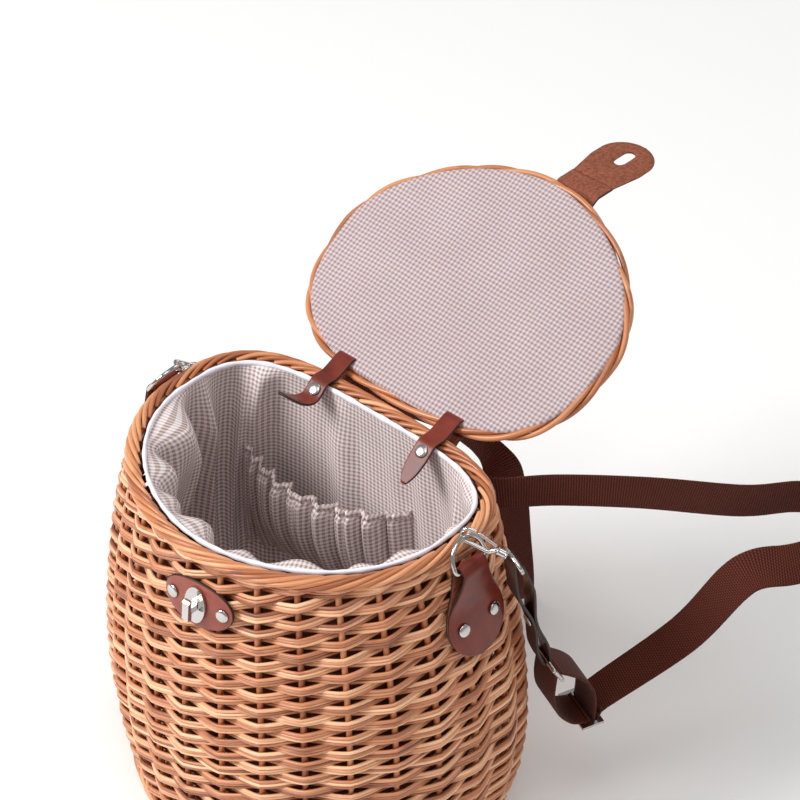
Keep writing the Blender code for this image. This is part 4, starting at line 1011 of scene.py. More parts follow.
def nickel_look(name, colour, roughness):
    """Smooth plated metal with slight clouding."""
    look = Look(name, roughness, metallic=1.0)
    place = look.place()
    cloud = look.noise(place, 60.0, 2.0)
    look.colour(look.mix(cloud, colour, tuple(value * 0.80 for value in colour[:3]) + (1.0,)))
    look.rough(look.math("MULTIPLY_ADD", cloud, 0.08, roughness - 0.04))
    return look.material


def board_look():
    """The plain wooden bottom board."""
    look = Look("board", 0.6, specular=0.35)
    place = look.place()
    grain = look.noise(look.stretched(place, (9.0, 320.0, 320.0)), 1.0, 5.0, 0.6)
    look.colour(look.ramp(grain, ((0.3, linear(150, 108, 76)), (0.7, linear(206, 165, 126)))))
    look.bump(grain, 0.0003, 0.5)
    return look.material


# Willow.


def wall_rods():
    """Upright stakes, and bundles of three weavers that climb from stake to stake, in front and behind."""
    stakes, weavers = Shape(), Shape()
    chance = random.Random(WALL_SEED)
    low = FOOT_HEIGHT * 0.5
    high = MOUTH_HEIGHT - BORDER_CENTRE_DROP - BORDER_RADIUS * 0.5
    for k in range(STAKES):
        share = k / STAKES
        lean = chance.uniform(-1, 1) * WOBBLE
        heights = np.linspace(low, high, 34)
        path = [wall_point(share, lean * math.sin(9 * z / high), z, -WEAVE_CENTRE) for z in heights]
        add_tube(stakes, path, STAKE_RADIUS, 8, tone=chance.random(), start=chance.random())
    for start in range(STAKES):
        for layer in (-1, 0, 1):
            path = weaver_path(start, layer, chance)
            size = WEAVER_RADIUS * chance.uniform(0.88, 1.10)
            add_tube(weavers, path, size, 7, tone=chance.random(), start=chance.random() * 3)
    one = stakes.build("wall_stakes", [LOOKS["stake"]], "willow", "basket")
    two = weavers.build("wall_weavers", [LOOKS["willow"]], "willow", "basket")
    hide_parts("basket_wall")
    return one, two


def weaver_path(start, layer, chance):
    """One weaver, which climbs half a row a stake and goes in front and behind in turn."""
    low = FOOT_HEIGHT + ROW_START
    top = MOUTH_HEIGHT - BORDER_CENTRE_DROP - BORDER_RADIUS * 0.6
    count = int((top - low) / (ROW_PITCH / 2)) + 1
    keys = []
    for k in range(-1, count + 2):
        front = k % 2 == 0
        close = 0.80 if front else 0.95
        z = low + k * ROW_PITCH / 2 + layer * 2 * WEAVER_RADIUS * close + chance.uniform(-0.5, 0.5) * WOBBLE
        lift = (WEAVE_DEPTH if front else -WEAVE_DEPTH) + chance.uniform(-0.25, 0.25) * WOBBLE
        lift += (1 - abs(layer)) * WOBBLE * (0.35 if front else -0.35)
        keys.append((z, lift))
    path = []
    for k in range(count + 1):
        (z, lift), (next_z, next_lift) = keys[k + 1], keys[k + 2]
        for t in np.arange(WEAVE_STEPS) / WEAVE_STEPS:
            turn = 0.62 * t + 0.38 * (1 - math.cos(math.pi * t)) / 2
            here = min(max(z + (next_z - z) * t, low - ROW_START / 2), top)
            away = lift + (next_lift - lift) * turn
            path.append(wall_point((start + k + t) / STAKES, 0, here, away - WEAVE_CENTRE))
    return path


def border_rods(name, centre, radius, helix, turns, node, seed):
    """A border of rods that come up, bend over along it and are tucked in behind the next ones."""
    shape = Shape()
    chance = random.Random(seed)
    count = 2 * STAKES
    steps = np.linspace(0, 1, 30)
    for k in range(count):
        path = []
        jitter = chance.uniform(-0.08, 0.08)
        for t in steps:
            share = (k + jitter + BORDER_SPANS * t) / count
            turn = math.radians(float(np.interp(t, BORDER_WAYS, turns)))
            point, out, up = centre(share % 1.0)
            path.append(point + (out * math.cos(turn) + up * math.sin(turn)) * helix)
        taper = np.interp(steps, BORDER_TAPER_WAYS, BORDER_TAPER)
        thick = float((radius * chance.uniform(0.88, 1.10) * taper).mean())
        line = smooth_path(path[::3] + [path[-1]], 4)
        add_tube(shape, line, thick, 9, tone=chance.random(), start=chance.random() * 2)
    for turn in BORDER_CORES:
        path = []
        for i in range(240):
            point, out, up = centre(i / 240)
            way = out * math.cos(math.radians(turn)) + up * math.sin(math.radians(turn))
            path.append(point + way * helix * BORDER_CORE_SHARE)
        add_tube(shape, path, radius, 8, closed=True, tone=chance.random(), start=chance.random())
    piece = shape.build(name, [LOOKS["border"]], "willow_border", "basket")
    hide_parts(node)
    return piece


def rim_centre(share):
    mouth = mouth_oval()
    point, normal, _ = on_oval(mouth, share, lift=BORDER_CENTRE_REACH)
    z = MOUTH_HEIGHT - BORDER_CENTRE_DROP
    return np.array([*point, z]), np.array([*normal, 0]), np.array([0, 0, 1])


def foot_centre(share):
    low = wall_oval(FOOT_HEIGHT)
    point, normal, _ = on_oval(low, share, lift=-FOOT_INSET)
    return np.array([*point, FOOT_HEIGHT / 2]), np.array([*normal, 0]), np.array([0, 0, 1])


def lid_border_centre(share):
    x, y = on_oval(lid_oval(), share, lift=-LID_ROD_RADIUS)[0]
    nx, ny = on_oval(lid_oval(), share)[1]
    along = LID_BACK_DEPTH - LID_BACK_REACH - y
    point = lid_point(x, along, LID_ROD_RISE)
    out = lid_point(nx, -ny, 0) - lid_point(0, 0, 0)
    up = lid_point(0, 0, 1) - lid_point(0, 0, 0)
    return point, out, up


def lid_border_rods():
    """Three long rods wound loosely round each other along the lid's edge."""
    shape = Shape()
    chance = random.Random(LID_BORDER_SEED)
    count = 460
    for strand in range(3):
        path, thick = [], []
        waver = [chance.uniform(-1, 1) for _ in range(4)]
        for i in range(count):
            share = i / count
            round_way = 2 * math.pi * share
            slow = sum(a * math.sin(round_way * (n + 2) + 3 * a) for n, a in enumerate(waver)) * 0.22
            turn = 2 * math.pi * (strand / 3 + LID_BORDER_TURNS * share) + slow
            point, out, up = lid_border_centre(share)
            path.append(point + (out * math.cos(turn) + up * math.sin(turn)) * LID_BORDER_HELIX)
            thick.append(LID_BORDER_ROD * (1 + 0.06 * math.sin(2 * math.pi * share * 5 + strand)))
        add_tube(shape, path, thick, 9, closed=True, tone=chance.random(), start=chance.random())
    piece = shape.build("lid_border_rods", [LOOKS["border"]], "willow_border", "lid")
    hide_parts("lid_border")


def lid_half_width(along, inset):
    """Half the lid's width at a distance from the hinge, inside the border."""
    y = LID_BACK_DEPTH - LID_BACK_REACH - along
    depth, power = (LID_BACK_DEPTH, LID_BACK_POWER) if y >= 0 else (LID_FRONT_DEPTH, LID_FRONT_POWER)
    share = min(1.0, abs(y) / (depth - inset))
    return (LID_HALF_WIDTH - inset) * max(0.0, 1 - share**power) ** (1 / power)


def lid_weave():
    """The lid's woven panel: stakes from the hinge to the front, and weavers across them."""
    stakes, weavers = Shape(), Shape()
    chance = random.Random(LID_WEAVE_SEED)
    inset = 2 * LID_ROD_RADIUS - LID_BORDER_ROD
    near, far = inset, lid_length() - inset
    half = LID_HALF_WIDTH - inset
    places = np.linspace(-half, half, LID_STAKES + 2)[1:-1]
    for x in places:
        run = [a for a in np.linspace(near, far, 60) if lid_half_width(a, inset) > abs(x)]
        if len(run) > 3:
            path = [lid_point(x, a, LID_ROD_RISE) for a in run]
            add_tube(stakes, path, LID_STAKE_RADIUS, 8, tone=chance.random())
    rows = int((far - near) / LID_ROW_PITCH)
    gap = places[1] - places[0]
    for row in range(1, rows):
        along = near + row * LID_ROW_PITCH
        half = lid_half_width(along, inset)
        if half < gap / 2:
            continue
        way = -1 if row % 2 else 1
        path = []
        for x in np.linspace(-half, half, 90):
            wave = math.cos(math.pi * (x - places[0]) / gap) * way
            wave = math.copysign(abs(wave) ** 0.7, wave)
            sink = chance.uniform(-0.04, 0.04) * WOBBLE
            path.append(lid_point(x, along + sink, LID_ROD_RISE + LID_WEAVE_DEPTH * wave))
        size = LID_WEAVER_RADIUS * chance.uniform(0.92, 1.06)
        add_tube(weavers, path, size, 7, tone=chance.random(), start=chance.random())
    stakes.build("lid_stakes", [LOOKS["stake"]], "lid_willow", "lid")
    piece = weavers.build("lid_weavers", [LOOKS["willow"]], "lid_willow", "lid")
    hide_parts("lid_panel")


# Cloth.


def fold_depth(share, depth):
    """How far the lining hangs in from its smooth shape: puffs under the mouth, then long upright folds."""
    total = 0.0
    for count, size, phase in LINING_FOLDS:
        total += size * math.cos(2 * math.pi * count * share + phase + 2.2 * depth)
    end = min(1.0, (1 - depth) / 0.12)
    start = min(1.0, depth / 0.16)
    lead = LINING_FOLD * max(0.0, total + 0.35) * start * end
    puff = math.sin(math.pi * min(1.0, depth / 0.60) ** 0.36)
    for at, width, size, drift in LINING_PUFFS:
        away = (share - at - drift * depth + 0.5) % 1.0 - 0.5
        lead += size * math.exp(-((away / width) ** 2)) * puff
    for at, width, size, drift in LINING_PLEATS:
        away = (share - at - drift * depth + 0.5) % 1.0 - 0.5
        lead += size * math.exp(-(abs(away / width) ** 1.5)) * start * end
    return lead


def lining_bag():
    """The gingham bag from the binding down to its floor, with hanging folds."""
    shape = Shape()
    top = MOUTH_HEIGHT - PIPING_RADIUS * 0.5
    bottom = BASE_THICKNESS + CLOTH_THICKNESS + 2 * TOUCH_GAP
    count = 400
    heights = [top, top - 0.004, top - 0.010, *np.linspace(top - 0.018, bottom + 0.010, 30), bottom + 0.004]
    grid = []
    for z in heights:
        depth = (top - z) / (top - bottom)
        shape_here = lining_oval(z)
        row = []
        for i in range(count):
            share = i / count
            lift = -(CLOTH_THICKNESS + fold_depth(share, depth))
            point = on_oval(shape_here, share, lift=lift)[0]
            row.append((*point, z))
        grid.append(row)
    add_sheet(shape, grid, closed=True, tone=0.5)
    floor = []
    for reach in LINING_FLOOR_REACHES:
        ring = []
        for i in range(count):
            point, _, _ = on_oval(lining_oval(bottom), i / count, lift=-reach - CLOTH_THICKNESS)
            ring.append((*point, bottom + (0.0022 if reach < 0.006 else 0.0)))
        floor.append(ring)
    add_planar(shape, [grid[-1], *floor])
    piece = shape.build("lining_cloth", [LOOKS["gingham_lining"]], "gingham", "basket")
    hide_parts("lining_bag")
    return piece


def add_planar(shape, rings, flat=None):
    """Rings with a face in their middle; the UVs are flat's, or X and Y in metres."""
    size = len(rings[0])
    points = [tuple(p) for ring in rings for p in ring]
    flat = flat or [point[:2] for point in points]
    faces = ring_faces(len(rings), size)
    last = (len(rings) - 1) * size
    faces.append(tuple(range(last, last + size)))
    uvs = [tuple(flat[j] for j in face) for face in faces]
    shape.add(points, faces, uvs, 0.5)


def binding():
    """The folded white binding round the mouth, a little uneven in width and height."""
    shape = Shape()
    mouth = mouth_oval()
    count = 480
    grid = []
    for out, up in BINDING_PROFILE:
        row = []
        for i in range(count):
            share = i / count
            turn = 2 * math.pi * share
            wave = BINDING_SHARE + 0.09 * math.sin(19 * turn) + 0.07 * math.sin(47 * turn + 1)
            point = on_oval(mouth, share, lift=out * PIPING_RADIUS * wave)[0]
            row.append((*point, MOUTH_HEIGHT + up * PIPING_RADIUS * wave))
        grid.append(row)
    add_sheet(shape, grid, closed=True)
    piece = shape.build("binding_tape", [LOOKS["binding"]], "piping", "basket")
    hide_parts("lining_piping")
    return piece


def pocket_place(t, drop, inside, pleat=0.0):
    z = MOUTH_HEIGHT - drop
    first, last = POCKET_SHARES
    share = first + (last - first) * t
    way = (drop - POCKET_DROP) / POCKET_DEPTH
    sag = POCKET_SAG * math.sin(math.pi * min(1.0, max(0.0, t))) ** 0.8 * (1 - way * way)
    lift = -(CLOTH_THICKNESS + 2 * TOUCH_GAP + inside + sag + pleat)
    return np.array([*on_oval(lining_oval(z), share, lift=lift)[0], z])


def pocket_pleat(t, way):
    """Gathers at the elastic: round ridges and sharp creases that run out down the cloth."""
    total = 0.0
    for count, size, phase in POCKET_PLEATS:
        bend = math.sin(math.pi * count * t + phase + 1.1 * math.sin(6 * t) + 0.25 * way)
        total += size * (2 * abs(bend) ** 0.6 - 1)
    fade = math.exp(-0.6 * max(0.0, way)) * (1 if way > 0 else 0.62)
    ends = min(1.0, 9 * t, 9 * (1 - t))
    return (total + 0.4) * POCKET_PLEAT * fade * ends


def pocket():
    """The gathered pocket and the frill above its elastic."""
    shape = Shape()
    columns = np.linspace(0, 1, 260)
    grid = []
    for way in np.linspace(0, 1, 28):
        drop = POCKET_DROP + POCKET_DEPTH * way
        puff = POCKET_PUFF * math.sin(math.pi * way)
        leads = [pocket_pleat(t, way) + puff * math.sin(math.pi * t) for t in columns]
        grid.append([pocket_place(t, drop, 0, lead) for t, lead in zip(columns, leads)])
    add_sheet(shape, grid, flip=True)
    piece = shape.build("pocket_cloth", [LOOKS["gingham_bag"]], "gingham", "basket")
    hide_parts("lining_pocket")
    frill = Shape()
    rows = []
    for below, inside in FRILL_PROFILE:
        drop = POCKET_DROP + below
        row = []
        for t in np.linspace(0, 1, 320):
            wave = math.sin(2 * math.pi * 33 * t + 2 * math.sin(9 * t))
            wave += 0.5 * math.sin(2 * math.pi * 51 * t)
            row.append(pocket_place(t, drop, inside + 0.0007 * wave, pocket_pleat(t, 0)))
        rows.append(row)
    add_sheet(frill, rows, flip=True)
    band = frill.build("pocket_frill", [LOOKS["gingham_bag"]], "gingham", "basket")
    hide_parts("pocket_elastic")
    return piece, band


def lid_cloth():
    """The gingham over the lid's inner side, a little puffed, with its edge turned in."""
    shape = Shape()
    low = LID_ROD_RISE - LID_PANEL_THICKNESS / 2
    edge, face = low - TOUCH_GAP, low - TOUCH_GAP - LID_PAD_THICKNESS
    count = 300
    rings = []
    for inset, up in ((0.0, edge), (0.0006, face + 0.0008), (0.0018, face + 0.0002), (0.004, face)):
        rings.append([lid_edge(i / count, LID_CLOTH_INSET + inset, up) for i in range(count)])
    for share in np.linspace(0.93, 0.04, 24):
        ring = []
        for i in range(count):
            x, y = on_oval(lid_oval(), i / count, lift=-LID_CLOTH_INSET - 0.004)[0]
            x, y = x * share, y * share
            wave = LID_RIPPLE * (math.sin(46 * x + 31 * y + 1.0) + 0.7 * math.sin(83 * x - 58 * y))
            fall = min(1.0, (1 - share) * 8)
            ring.append(lid_point(x, LID_BACK_DEPTH - LID_BACK_REACH - y, face + wave * fall))
        rings.append(ring)
    flat = []
    for ring in rings:
        for p in ring:
            rel = np.array(p) - hinge_axis()
            flat.append((rel[0], math.hypot(rel[1], rel[2])))
    add_planar(shape, rings, flat)
    piece = shape.build("lid_cloth", [LOOKS["gingham"]], "gingham", "lid")
    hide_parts("lid_lining")
    return piece


# Leather.


def leather_piece(shape, name, body, nodes, look="leather", flesh="flesh"):
    """A leather piece with its own look on top, dark edges and a fibrous inner side."""
    piece = shape.build(name, [LOOKS[look], LOOKS["edge"], LOOKS[flesh]], "leather", body)
    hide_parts(*nodes)
    return piece


def tab_share(side):
    return share_at(wall_oval(MOUTH_HEIGHT - TAB_BAR_DROP), y=TAB_Y, side=side)


def tab_frame(side):
    """The D ring's bar on one side: its middle, its direction and the outward normal."""
    z = MOUTH_HEIGHT - TAB_BAR_DROP
    point, normal, tangent = on_oval(wall_oval(z), tab_share(side), lift=TAB_BAR_LIFT)
    return np.array([*point, z]), np.array([*tangent, 0]), np.array([*normal, 0])


def tab_line():
    """Lift and drop of the tab's leather, from its back end up round the bar and down the front."""
    around = RING_WIRE + TOUCH_GAP + LEATHER / 2
    back = TOUCH_GAP + LEATHER / 2
    front = back + LEATHER + TOUCH_GAP
    bottom = TAB_BAR_DROP + TAB_LENGTH
    line = [(back, TAB_BAR_DROP + TAB_LENGTH * share) for share in TAB_SHARES[::-1]]
    line.append((back + 2 * TOUCH_GAP, TAB_BAR_DROP + 2.2 * around))
    line += arc((TAB_BAR_LIFT, TAB_BAR_DROP), around, np.linspace(-180, 0, 13))
    line.append((TAB_BAR_LIFT + around, TAB_BAR_DROP + 1.5 * around))
    line += [(front + LEATHER, TAB_BAR_DROP + TAB_LENGTH * 0.34)]
    line += [(front, TAB_BAR_DROP + TAB_LENGTH * share) for share in TAB_SHARES if share > 0.4]
    return np.array(line), bottom


def tab_half_width(drop, bottom):
    """Half the teardrop's width at a drop below the mouth."""
    middle = bottom - TAB_ROUND_RADIUS
    if drop > middle:
        inside = TAB_ROUND_RADIUS**2 - (drop - middle) ** 2
        return math.sqrt(max(inside, (TAB_ROUND_RADIUS / 16) ** 2))
    way = max(0.0, (drop - TAB_BAR_DROP) / (middle - TAB_BAR_DROP))
    ease = way * way * (3 - 2 * way)
    return TAB_FOLD_WIDTH / 2 + (TAB_ROUND_RADIUS - TAB_FOLD_WIDTH / 2) * ease


def tab_place(side, along, drop, lift):
    """A point over the wall, which runs straight near the bar and follows the wall below it."""
    z = MOUTH_HEIGHT - drop
    share = tab_share(side)
    middle, normal, tangent = on_oval(wall_oval(z), share)
    flat = middle + tangent * along + normal * lift
    bent = on_oval(wall_oval(z), share, along, lift)[0]
    way = min(1.0, max(0.0, (drop - TAB_BAR_DROP - RING_WIRE) / (TAB_LENGTH / 3)))
    return np.array([*(flat * (1 - way) + bent * way), z])


def side_tab(side, word):
    shape = Shape()
    line, bottom = tab_line()
    line = smooth_path(np.c_[line, np.zeros(len(line))], 3)[:, :2]
    shares = np.array([-1, -0.97, *np.linspace(-0.85, 0.85, 9), 0.97, 1])
    top, under = [], []
    for i, (lift, drop) in enumerate(line):
        ahead = unit(line[min(i + 1, len(line) - 1)] - line[max(i - 1, 0)])
        face = np.array([-ahead[1], ahead[0]]) * LEATHER / 2
        half = tab_half_width(drop, bottom)
        soft = np.array([1 - 0.25 * (abs(a) > 0.98) for a in shares])
        for row, way in ((top, 1), (under, -1)):
            row.append(
                [
                    tab_place(side, a * half, drop + way * face[1] * s, lift + way * face[0] * s)
                    for a, s in zip(shares, soft)
                ]
            )
    add_plate(shape, top, under)
    shape.looks = [2 - look for look in shape.looks]
    leather_piece(shape, f"tab_leather_{word}", "basket", [f"side_tab_{word}"])


def hinge_strap_path(side):
    """The leather's middle line from the tail inside over both borders and back in."""
    x = HINGE_STRAP_X
    lift = LEATHER / 2 + TOUCH_GAP
    mouth = depth_at(mouth_oval(), x)
    rim = np.array([depth_at(mouth_oval(), x, BORDER_CENTRE_REACH), MOUTH_HEIGHT - BORDER_CENTRE_DROP])
    rod_depth = depth_at(lid_oval(), x, -LID_ROD_RADIUS)
    rod = lid_point(x, LID_BACK_DEPTH - LID_BACK_REACH - rod_depth, LID_ROD_RISE)[1:]
    over = max(MOUTH_HEIGHT + PIPING_RADIUS, rim[1] + BORDER_RADIUS) + lift
    start = np.array([mouth - PIPING_RADIUS, over])
    path = [start, np.array([(mouth + rim[0]) / 2, over]), np.array([rim[0], over])]
    reach = LID_ROD_RADIUS + lift + HINGE_SLACK
    path += arc(rod, reach, np.linspace(120, -100, 12))
    under = MOUTH_HEIGHT - BORDER_CENTRE_DROP - BORDER_RADIUS - LEATHER / 2 - 1.5 * TOUCH_GAP
    wall = depth_at(wall_oval(under), x)
    path.append(np.array([max(wall, rim[0]) + BORDER_RADIUS / 2, under]))
    path.append(np.array([wall - WALL_THICKNESS, under]))
    widest = depth_at(mouth_oval(), x - HINGE_STRAP_WIDTH / 2)
    path += [np.array([widest + LEATHER / 2 + TOUCH_GAP, under])]
    return hinge_tail(side, start) + [np.array([side * x, y, z]) for y, z in path]


def hinge_tail(side, start):
    """The tail's points from its tip to just before the strap's bend at start."""
    c, s = math.cos(HINGE_TAIL_ANGLE), math.sin(HINGE_TAIL_ANGLE)
    straight = [(c * t, s * t, 0) for t in (1, 0.75, 0.5, 0.25)]
    tail = []
    for inwards, down, aside in straight if side > 0 else LEFT_TAIL_SHARES:
        place = np.array([side * aside, -inwards, -down]) * HINGE_TAIL_LENGTH
        tail.append(np.array([side * HINGE_STRAP_X, *start]) + place)
    return tail


def hinge_straps():
    joint = hinge_axis()
    for side, word in ((-1, "left"), (1, "right")):
        shape = Shape()
        line = smooth_path(hinge_strap_path(side), 4)
        way = way_along(line)
        width = HINGE_STRAP_WIDTH * np.interp(way, HINGE_TAIL_WAYS, HINGE_TAIL_WIDTHS)
        top, under = strip_rows(line, (1, 0, 0), width, LEATHER, 7)
        add_plate(shape, top, under)
        shape.looks = [2 - look for look in shape.looks]
        nodes = [f"hinge_strap_{word}"]
        piece = leather_piece(shape, f"hinge_leather_{word}", "basket", nodes, "hinge_leather")
        unride(piece)
        start = joint + np.array([0, -0.012, 0.004])
        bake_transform(piece, "basket", "lid", start=tuple(start), end=tuple(joint + np.array([0, 0.012, 0.006])))


def unride(piece):
    """Takes a piece off its body again, so that it can bend between two."""
    piece.parent = None
    if "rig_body" in piece:
        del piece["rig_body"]


def lock_share():
    return share_at(wall_oval(MOUTH_HEIGHT - LOCK_DROP), x=LOCK_X)


def lock_place(a, b, lift):
    return wall_point(lock_share(), a, MOUTH_HEIGHT - LOCK_DROP + b, lift)


def lock_plate():
    shape = Shape()
    add_oval_plate(
        shape,
        lambda a, b, lift: lock_place(a, b, lift + TOUCH_GAP),
        LOCK_PLATE_WIDTH / 2,
        LOCK_PLATE_HEIGHT / 2,
        LEATHER,
        power=2.15,
        count=72,
    )
    leather_piece(shape, "lock_leather", "basket", ["lock_plate"], "plate_leather")


def back_patch():
    over = TOUCH_GAP * 2 + WEB_THICKNESS
    shape = Shape()
    add_oval_plate(
        shape,
        lambda a, b, lift: wall_point(0.5, a, MOUTH_HEIGHT - BACK_PATCH_DROP + b, lift + over),
        BACK_PATCH_WIDTH / 2,
        BACK_PATCH_HEIGHT / 2,
        LEATHER,
        power=6.0,
        count=120,
    )
    leather_piece(shape, "patch_leather", "basket", ["back_patch"])


def tongue_axis():
    """Along and up of the tongue's bend, just past the top of the lid's front border."""
    return lid_length() + LEATHER, LID_ROD_RISE + LID_ROD_RADIUS + LEATHER / 4


def tongue_point(a, reach, lift):
    """A point of the tongue at rest, drooping outwards from the lid's plane."""
    along, up = tongue_axis()
    c, s = math.cos(TONGUE_DROOP), math.sin(TONGUE_DROOP)
    return lid_point(LOCK_X + a, along + reach * c - lift * s, up + reach * s + lift * c)


def tongue_outline():
    """Half widths of the tongue at distances past its bend."""
    root, head = TONGUE_ROOT_WIDTH / 2, TONGUE_HEAD_WIDTH / 2
    end = TONGUE_SLOT_REACH + TONGUE_END
    flare_end = TONGUE_SLOT_REACH - TONGUE_END / 2
    widths = [(0, root), (flare_end * 0.35, root * 0.98)]
    widths += [(flare_end * 0.7, (root + head) / 2), (flare_end, head)]
    round_from = end - head
    for share in TONGUE_ROUND_SHARES:
        widths.append((round_from + head * share, head * math.sqrt(1 - share * share)))
    return sorted(widths)


def tongue():
    """The tongue and its riveted root: one leather, from the lid's outer side to the head."""
    shape = Shape()
    add_tongue_root(shape)
    add_tongue_head(shape)
    piece = leather_piece(shape, "tongue_leather", "lid", ["lid_tongue", "tongue_patch"])
    unride(piece)
    start, end = tongue_point(0, -0.0035, 0), tongue_point(0, 0.0045, 0)
    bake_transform(piece, "lid", "tongue", start=tuple(start), end=tuple(end))


def add_tongue_root(shape):
    along, up = tongue_axis()
    flat = LID_ROD_RISE + LID_PANEL_THICKNESS / 2 + TOUCH_GAP + LEATHER / 2
    over = LID_ROD_RISE + LID_ROD_RADIUS + TOUCH_GAP + LEATHER / 2
    widest = LOCK_X + TONGUE_ROOT_WIDTH / 2
    border = LID_BACK_DEPTH - LID_BACK_REACH - depth_at(lid_oval(), widest, -2 * LID_ROD_RADIUS, back=False)
    line = [
        (border - TONGUE_PATCH_LENGTH, flat),
        (border - TONGUE_PATCH_LENGTH * 0.5, flat),
        (border - LEATHER, flat),
        (border + LID_ROD_RADIUS * 0.6, over),
        (border + LID_ROD_RADIUS * 1.2, over),
        (along - LEATHER, up + LEATHER / 4),
    ]
    path = [lid_point(LOCK_X, a, b) for a, b in line]
    path += [tongue_point(0, reach, 0) for reach in (0.002, 0.006, 0.012, TONGUE_JOIN)]
    path = smooth_path(path, 4)
    way = way_along(path)
    width = TONGUE_ROOT_WIDTH * np.interp(way, TONGUE_ROOT_WAYS, TONGUE_ROOT_WIDTHS)
    top, under = strip_rows(path, (1, 0, 0), width, LEATHER, 7)
    add_plate(shape, top, under)


def add_tongue_head(shape):
    """The head as a ring of faces between the slot and the outline, on both sides, with edges."""
    widths = tongue_outline()
    reaches, halves = zip(*widths)
    outline = []
    for reach in np.linspace(TONGUE_JOIN, reaches[-1], 40):
        outline.append((float(np.interp(reach, reaches, halves)), reach))
    outline = outline + [(-a, reach) for a, reach in outline[::-1]]
    outline += [(a, TONGUE_JOIN) for a in np.linspace(-outline[0][0], outline[0][0], 12)[1:-1]]
    half_length = TOGGLE_LENGTH / 2 + SLOT_CLEARANCE
    half_width = TOGGLE_WIDTH / 2 + SLOT_CLEARANCE
    slot = []
    for a, reach in outline:
        turn = math.atan2(reach - TONGUE_SLOT_REACH, a)
        c, s = math.cos(turn), math.sin(turn)
        straight = (half_length - half_width) * math.tanh(4 * s)
        slot.append((half_width * c, TONGUE_SLOT_REACH + straight + half_width * s))
    count = len(outline)
    soft = LEATHER * 0.3
    steps = ((0.0, soft), (0.03, 0.0), (0.35, 0.0), (0.7, 0.0), (0.97, 0.0), (1.0, soft))
    points, flat = [], []
    for way in (1, -1):
        for share, drop in steps:
            for (a, reach), (b, near) in zip(outline, slot):
                u, v = b + (a - b) * share, near + (reach - near) * share
                points.append(tuple(tongue_point(u, v, way * (LEATHER / 2 - drop))))
                flat.append((u, v))
    faces, uvs, looks = [], [], []

    def quad(face, look):
        faces.append(face)
        uvs.append(tuple(flat[j] for j in face))
        looks.append(look)

    rows = len(steps)
    for side in (0, 1):
        base = side * rows * count
        for i in range(rows - 1):
            for k in range(count):
                m = (k + 1) % count
                first, second = base + i * count, base + (i + 1) * count
                face = (first + k, second + k, second + m, first + m)
                quad(face if side else face[::-1], 2 if side else 0)
    for row, way in ((0, -1), (rows - 1, 1)):
        for k in range(count):
            m = (k + 1) % count
            upper, lower = row * count, (rows + row) * count
            face = (upper + k, lower + k, lower + m, upper + m)
            quad(face[::way], 1)
    shape.add(points, faces, uvs, 0.5, looks)


def layered_loop(start, end, across, start_radius, end_radius, reach):
    """A closed path round bars at start and end; reach gives half the distance of its two layers."""
    along = unit(end - start)
    face = unit(np.cross(across, along))
    ways = [way for way, _ in reach]
    path = []
    for side in (1, -1):
        for way in ways[::side]:
            apart = dict(reach)[way]
            path.append(start + (end - start) * way + face * side * apart)
        centre, radius = (end, end_radius) if side > 0 else (start, start_radius)
        for turn in np.linspace(0, math.pi, 7):
            out = face * side * math.cos(turn) + along * side * math.sin(turn)
            path.append(centre + out * radius)
    return path


# Metal and webbing.


def ring_frame(side):
    """The D ring's bar middle, bar direction, and the direction from the bar to the bow's top."""
    bar, along, out = tab_frame(side)
    rise = np.array([0, 0, 1]) * math.cos(RING_LEANS[side]) - out * math.sin(RING_LEANS[side])
    return bar, along, rise


def ring_points(side):
    bar, along, rise = ring_frame(side)
    half = RING_WIDTH / 2
    legs = RING_HEIGHT - half
    corner = RING_WIRE * 1.5
    points = [bar + along * half * share for share in (-0.8, 0, 0.8)]
    points.append(bar + along * half + rise * corner)
    for turn in np.radians(np.linspace(0, 180, 15)):
        points.append(bar + along * half * math.cos(turn) + rise * (legs + half * math.sin(turn)))
    points.append(bar - along * half + rise * corner)
    return points


def chain_axes(side):
    """Across the straps' hardware, then back and up in the plane in which the chain hangs."""
    across = unit(np.array(CHAIN_ACROSS) * (side, 1, 1))
    rise = unit(np.array([0, 0, 1]) - across * across[2])
    back = np.cross(rise, across) * side
    return across, back, rise


def bar_place(side, places):
    bar = ring_frame(side)[0]
    return bar + np.array(places[side]) * (side, 1, 1)


def chain_place(side, place):
    _, back, rise = chain_axes(side)
    return bar_place(side, EYE_PLACES) + back * place[0] + rise * place[1]


def hook_frame(side):
    """The wire's middle in the hook, the ways to the barrel and out, the tilt and the barrel's distance."""
    bar, along, rise = ring_frame(side)
    back = along * side
    half = RING_WIDTH / 2
    turn = HOOK_TURNS[side]
    reach = RING_HEIGHT - half + half * math.cos(turn)
    held = bar + back * half * math.sin(turn) + rise * reach
    wire_way = back * math.cos(turn) - rise * math.sin(turn)
    gap = bar_place(side, BARREL_PLACES) - held
    ahead = unit(gap)
    out = unit(np.cross(wire_way, ahead))
    out = out if out[2] > 0 else -out
    tilt = math.sqrt(1 - np.dot(ahead, wire_way) ** 2)
    return held, ahead, out, tilt, np.linalg.norm(gap)


def metal_piece(shape, name, body, node, look="nickel"):
    piece = shape.build(name, [LOOKS[look]], "nickel", body)
    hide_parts(node)
    return piece


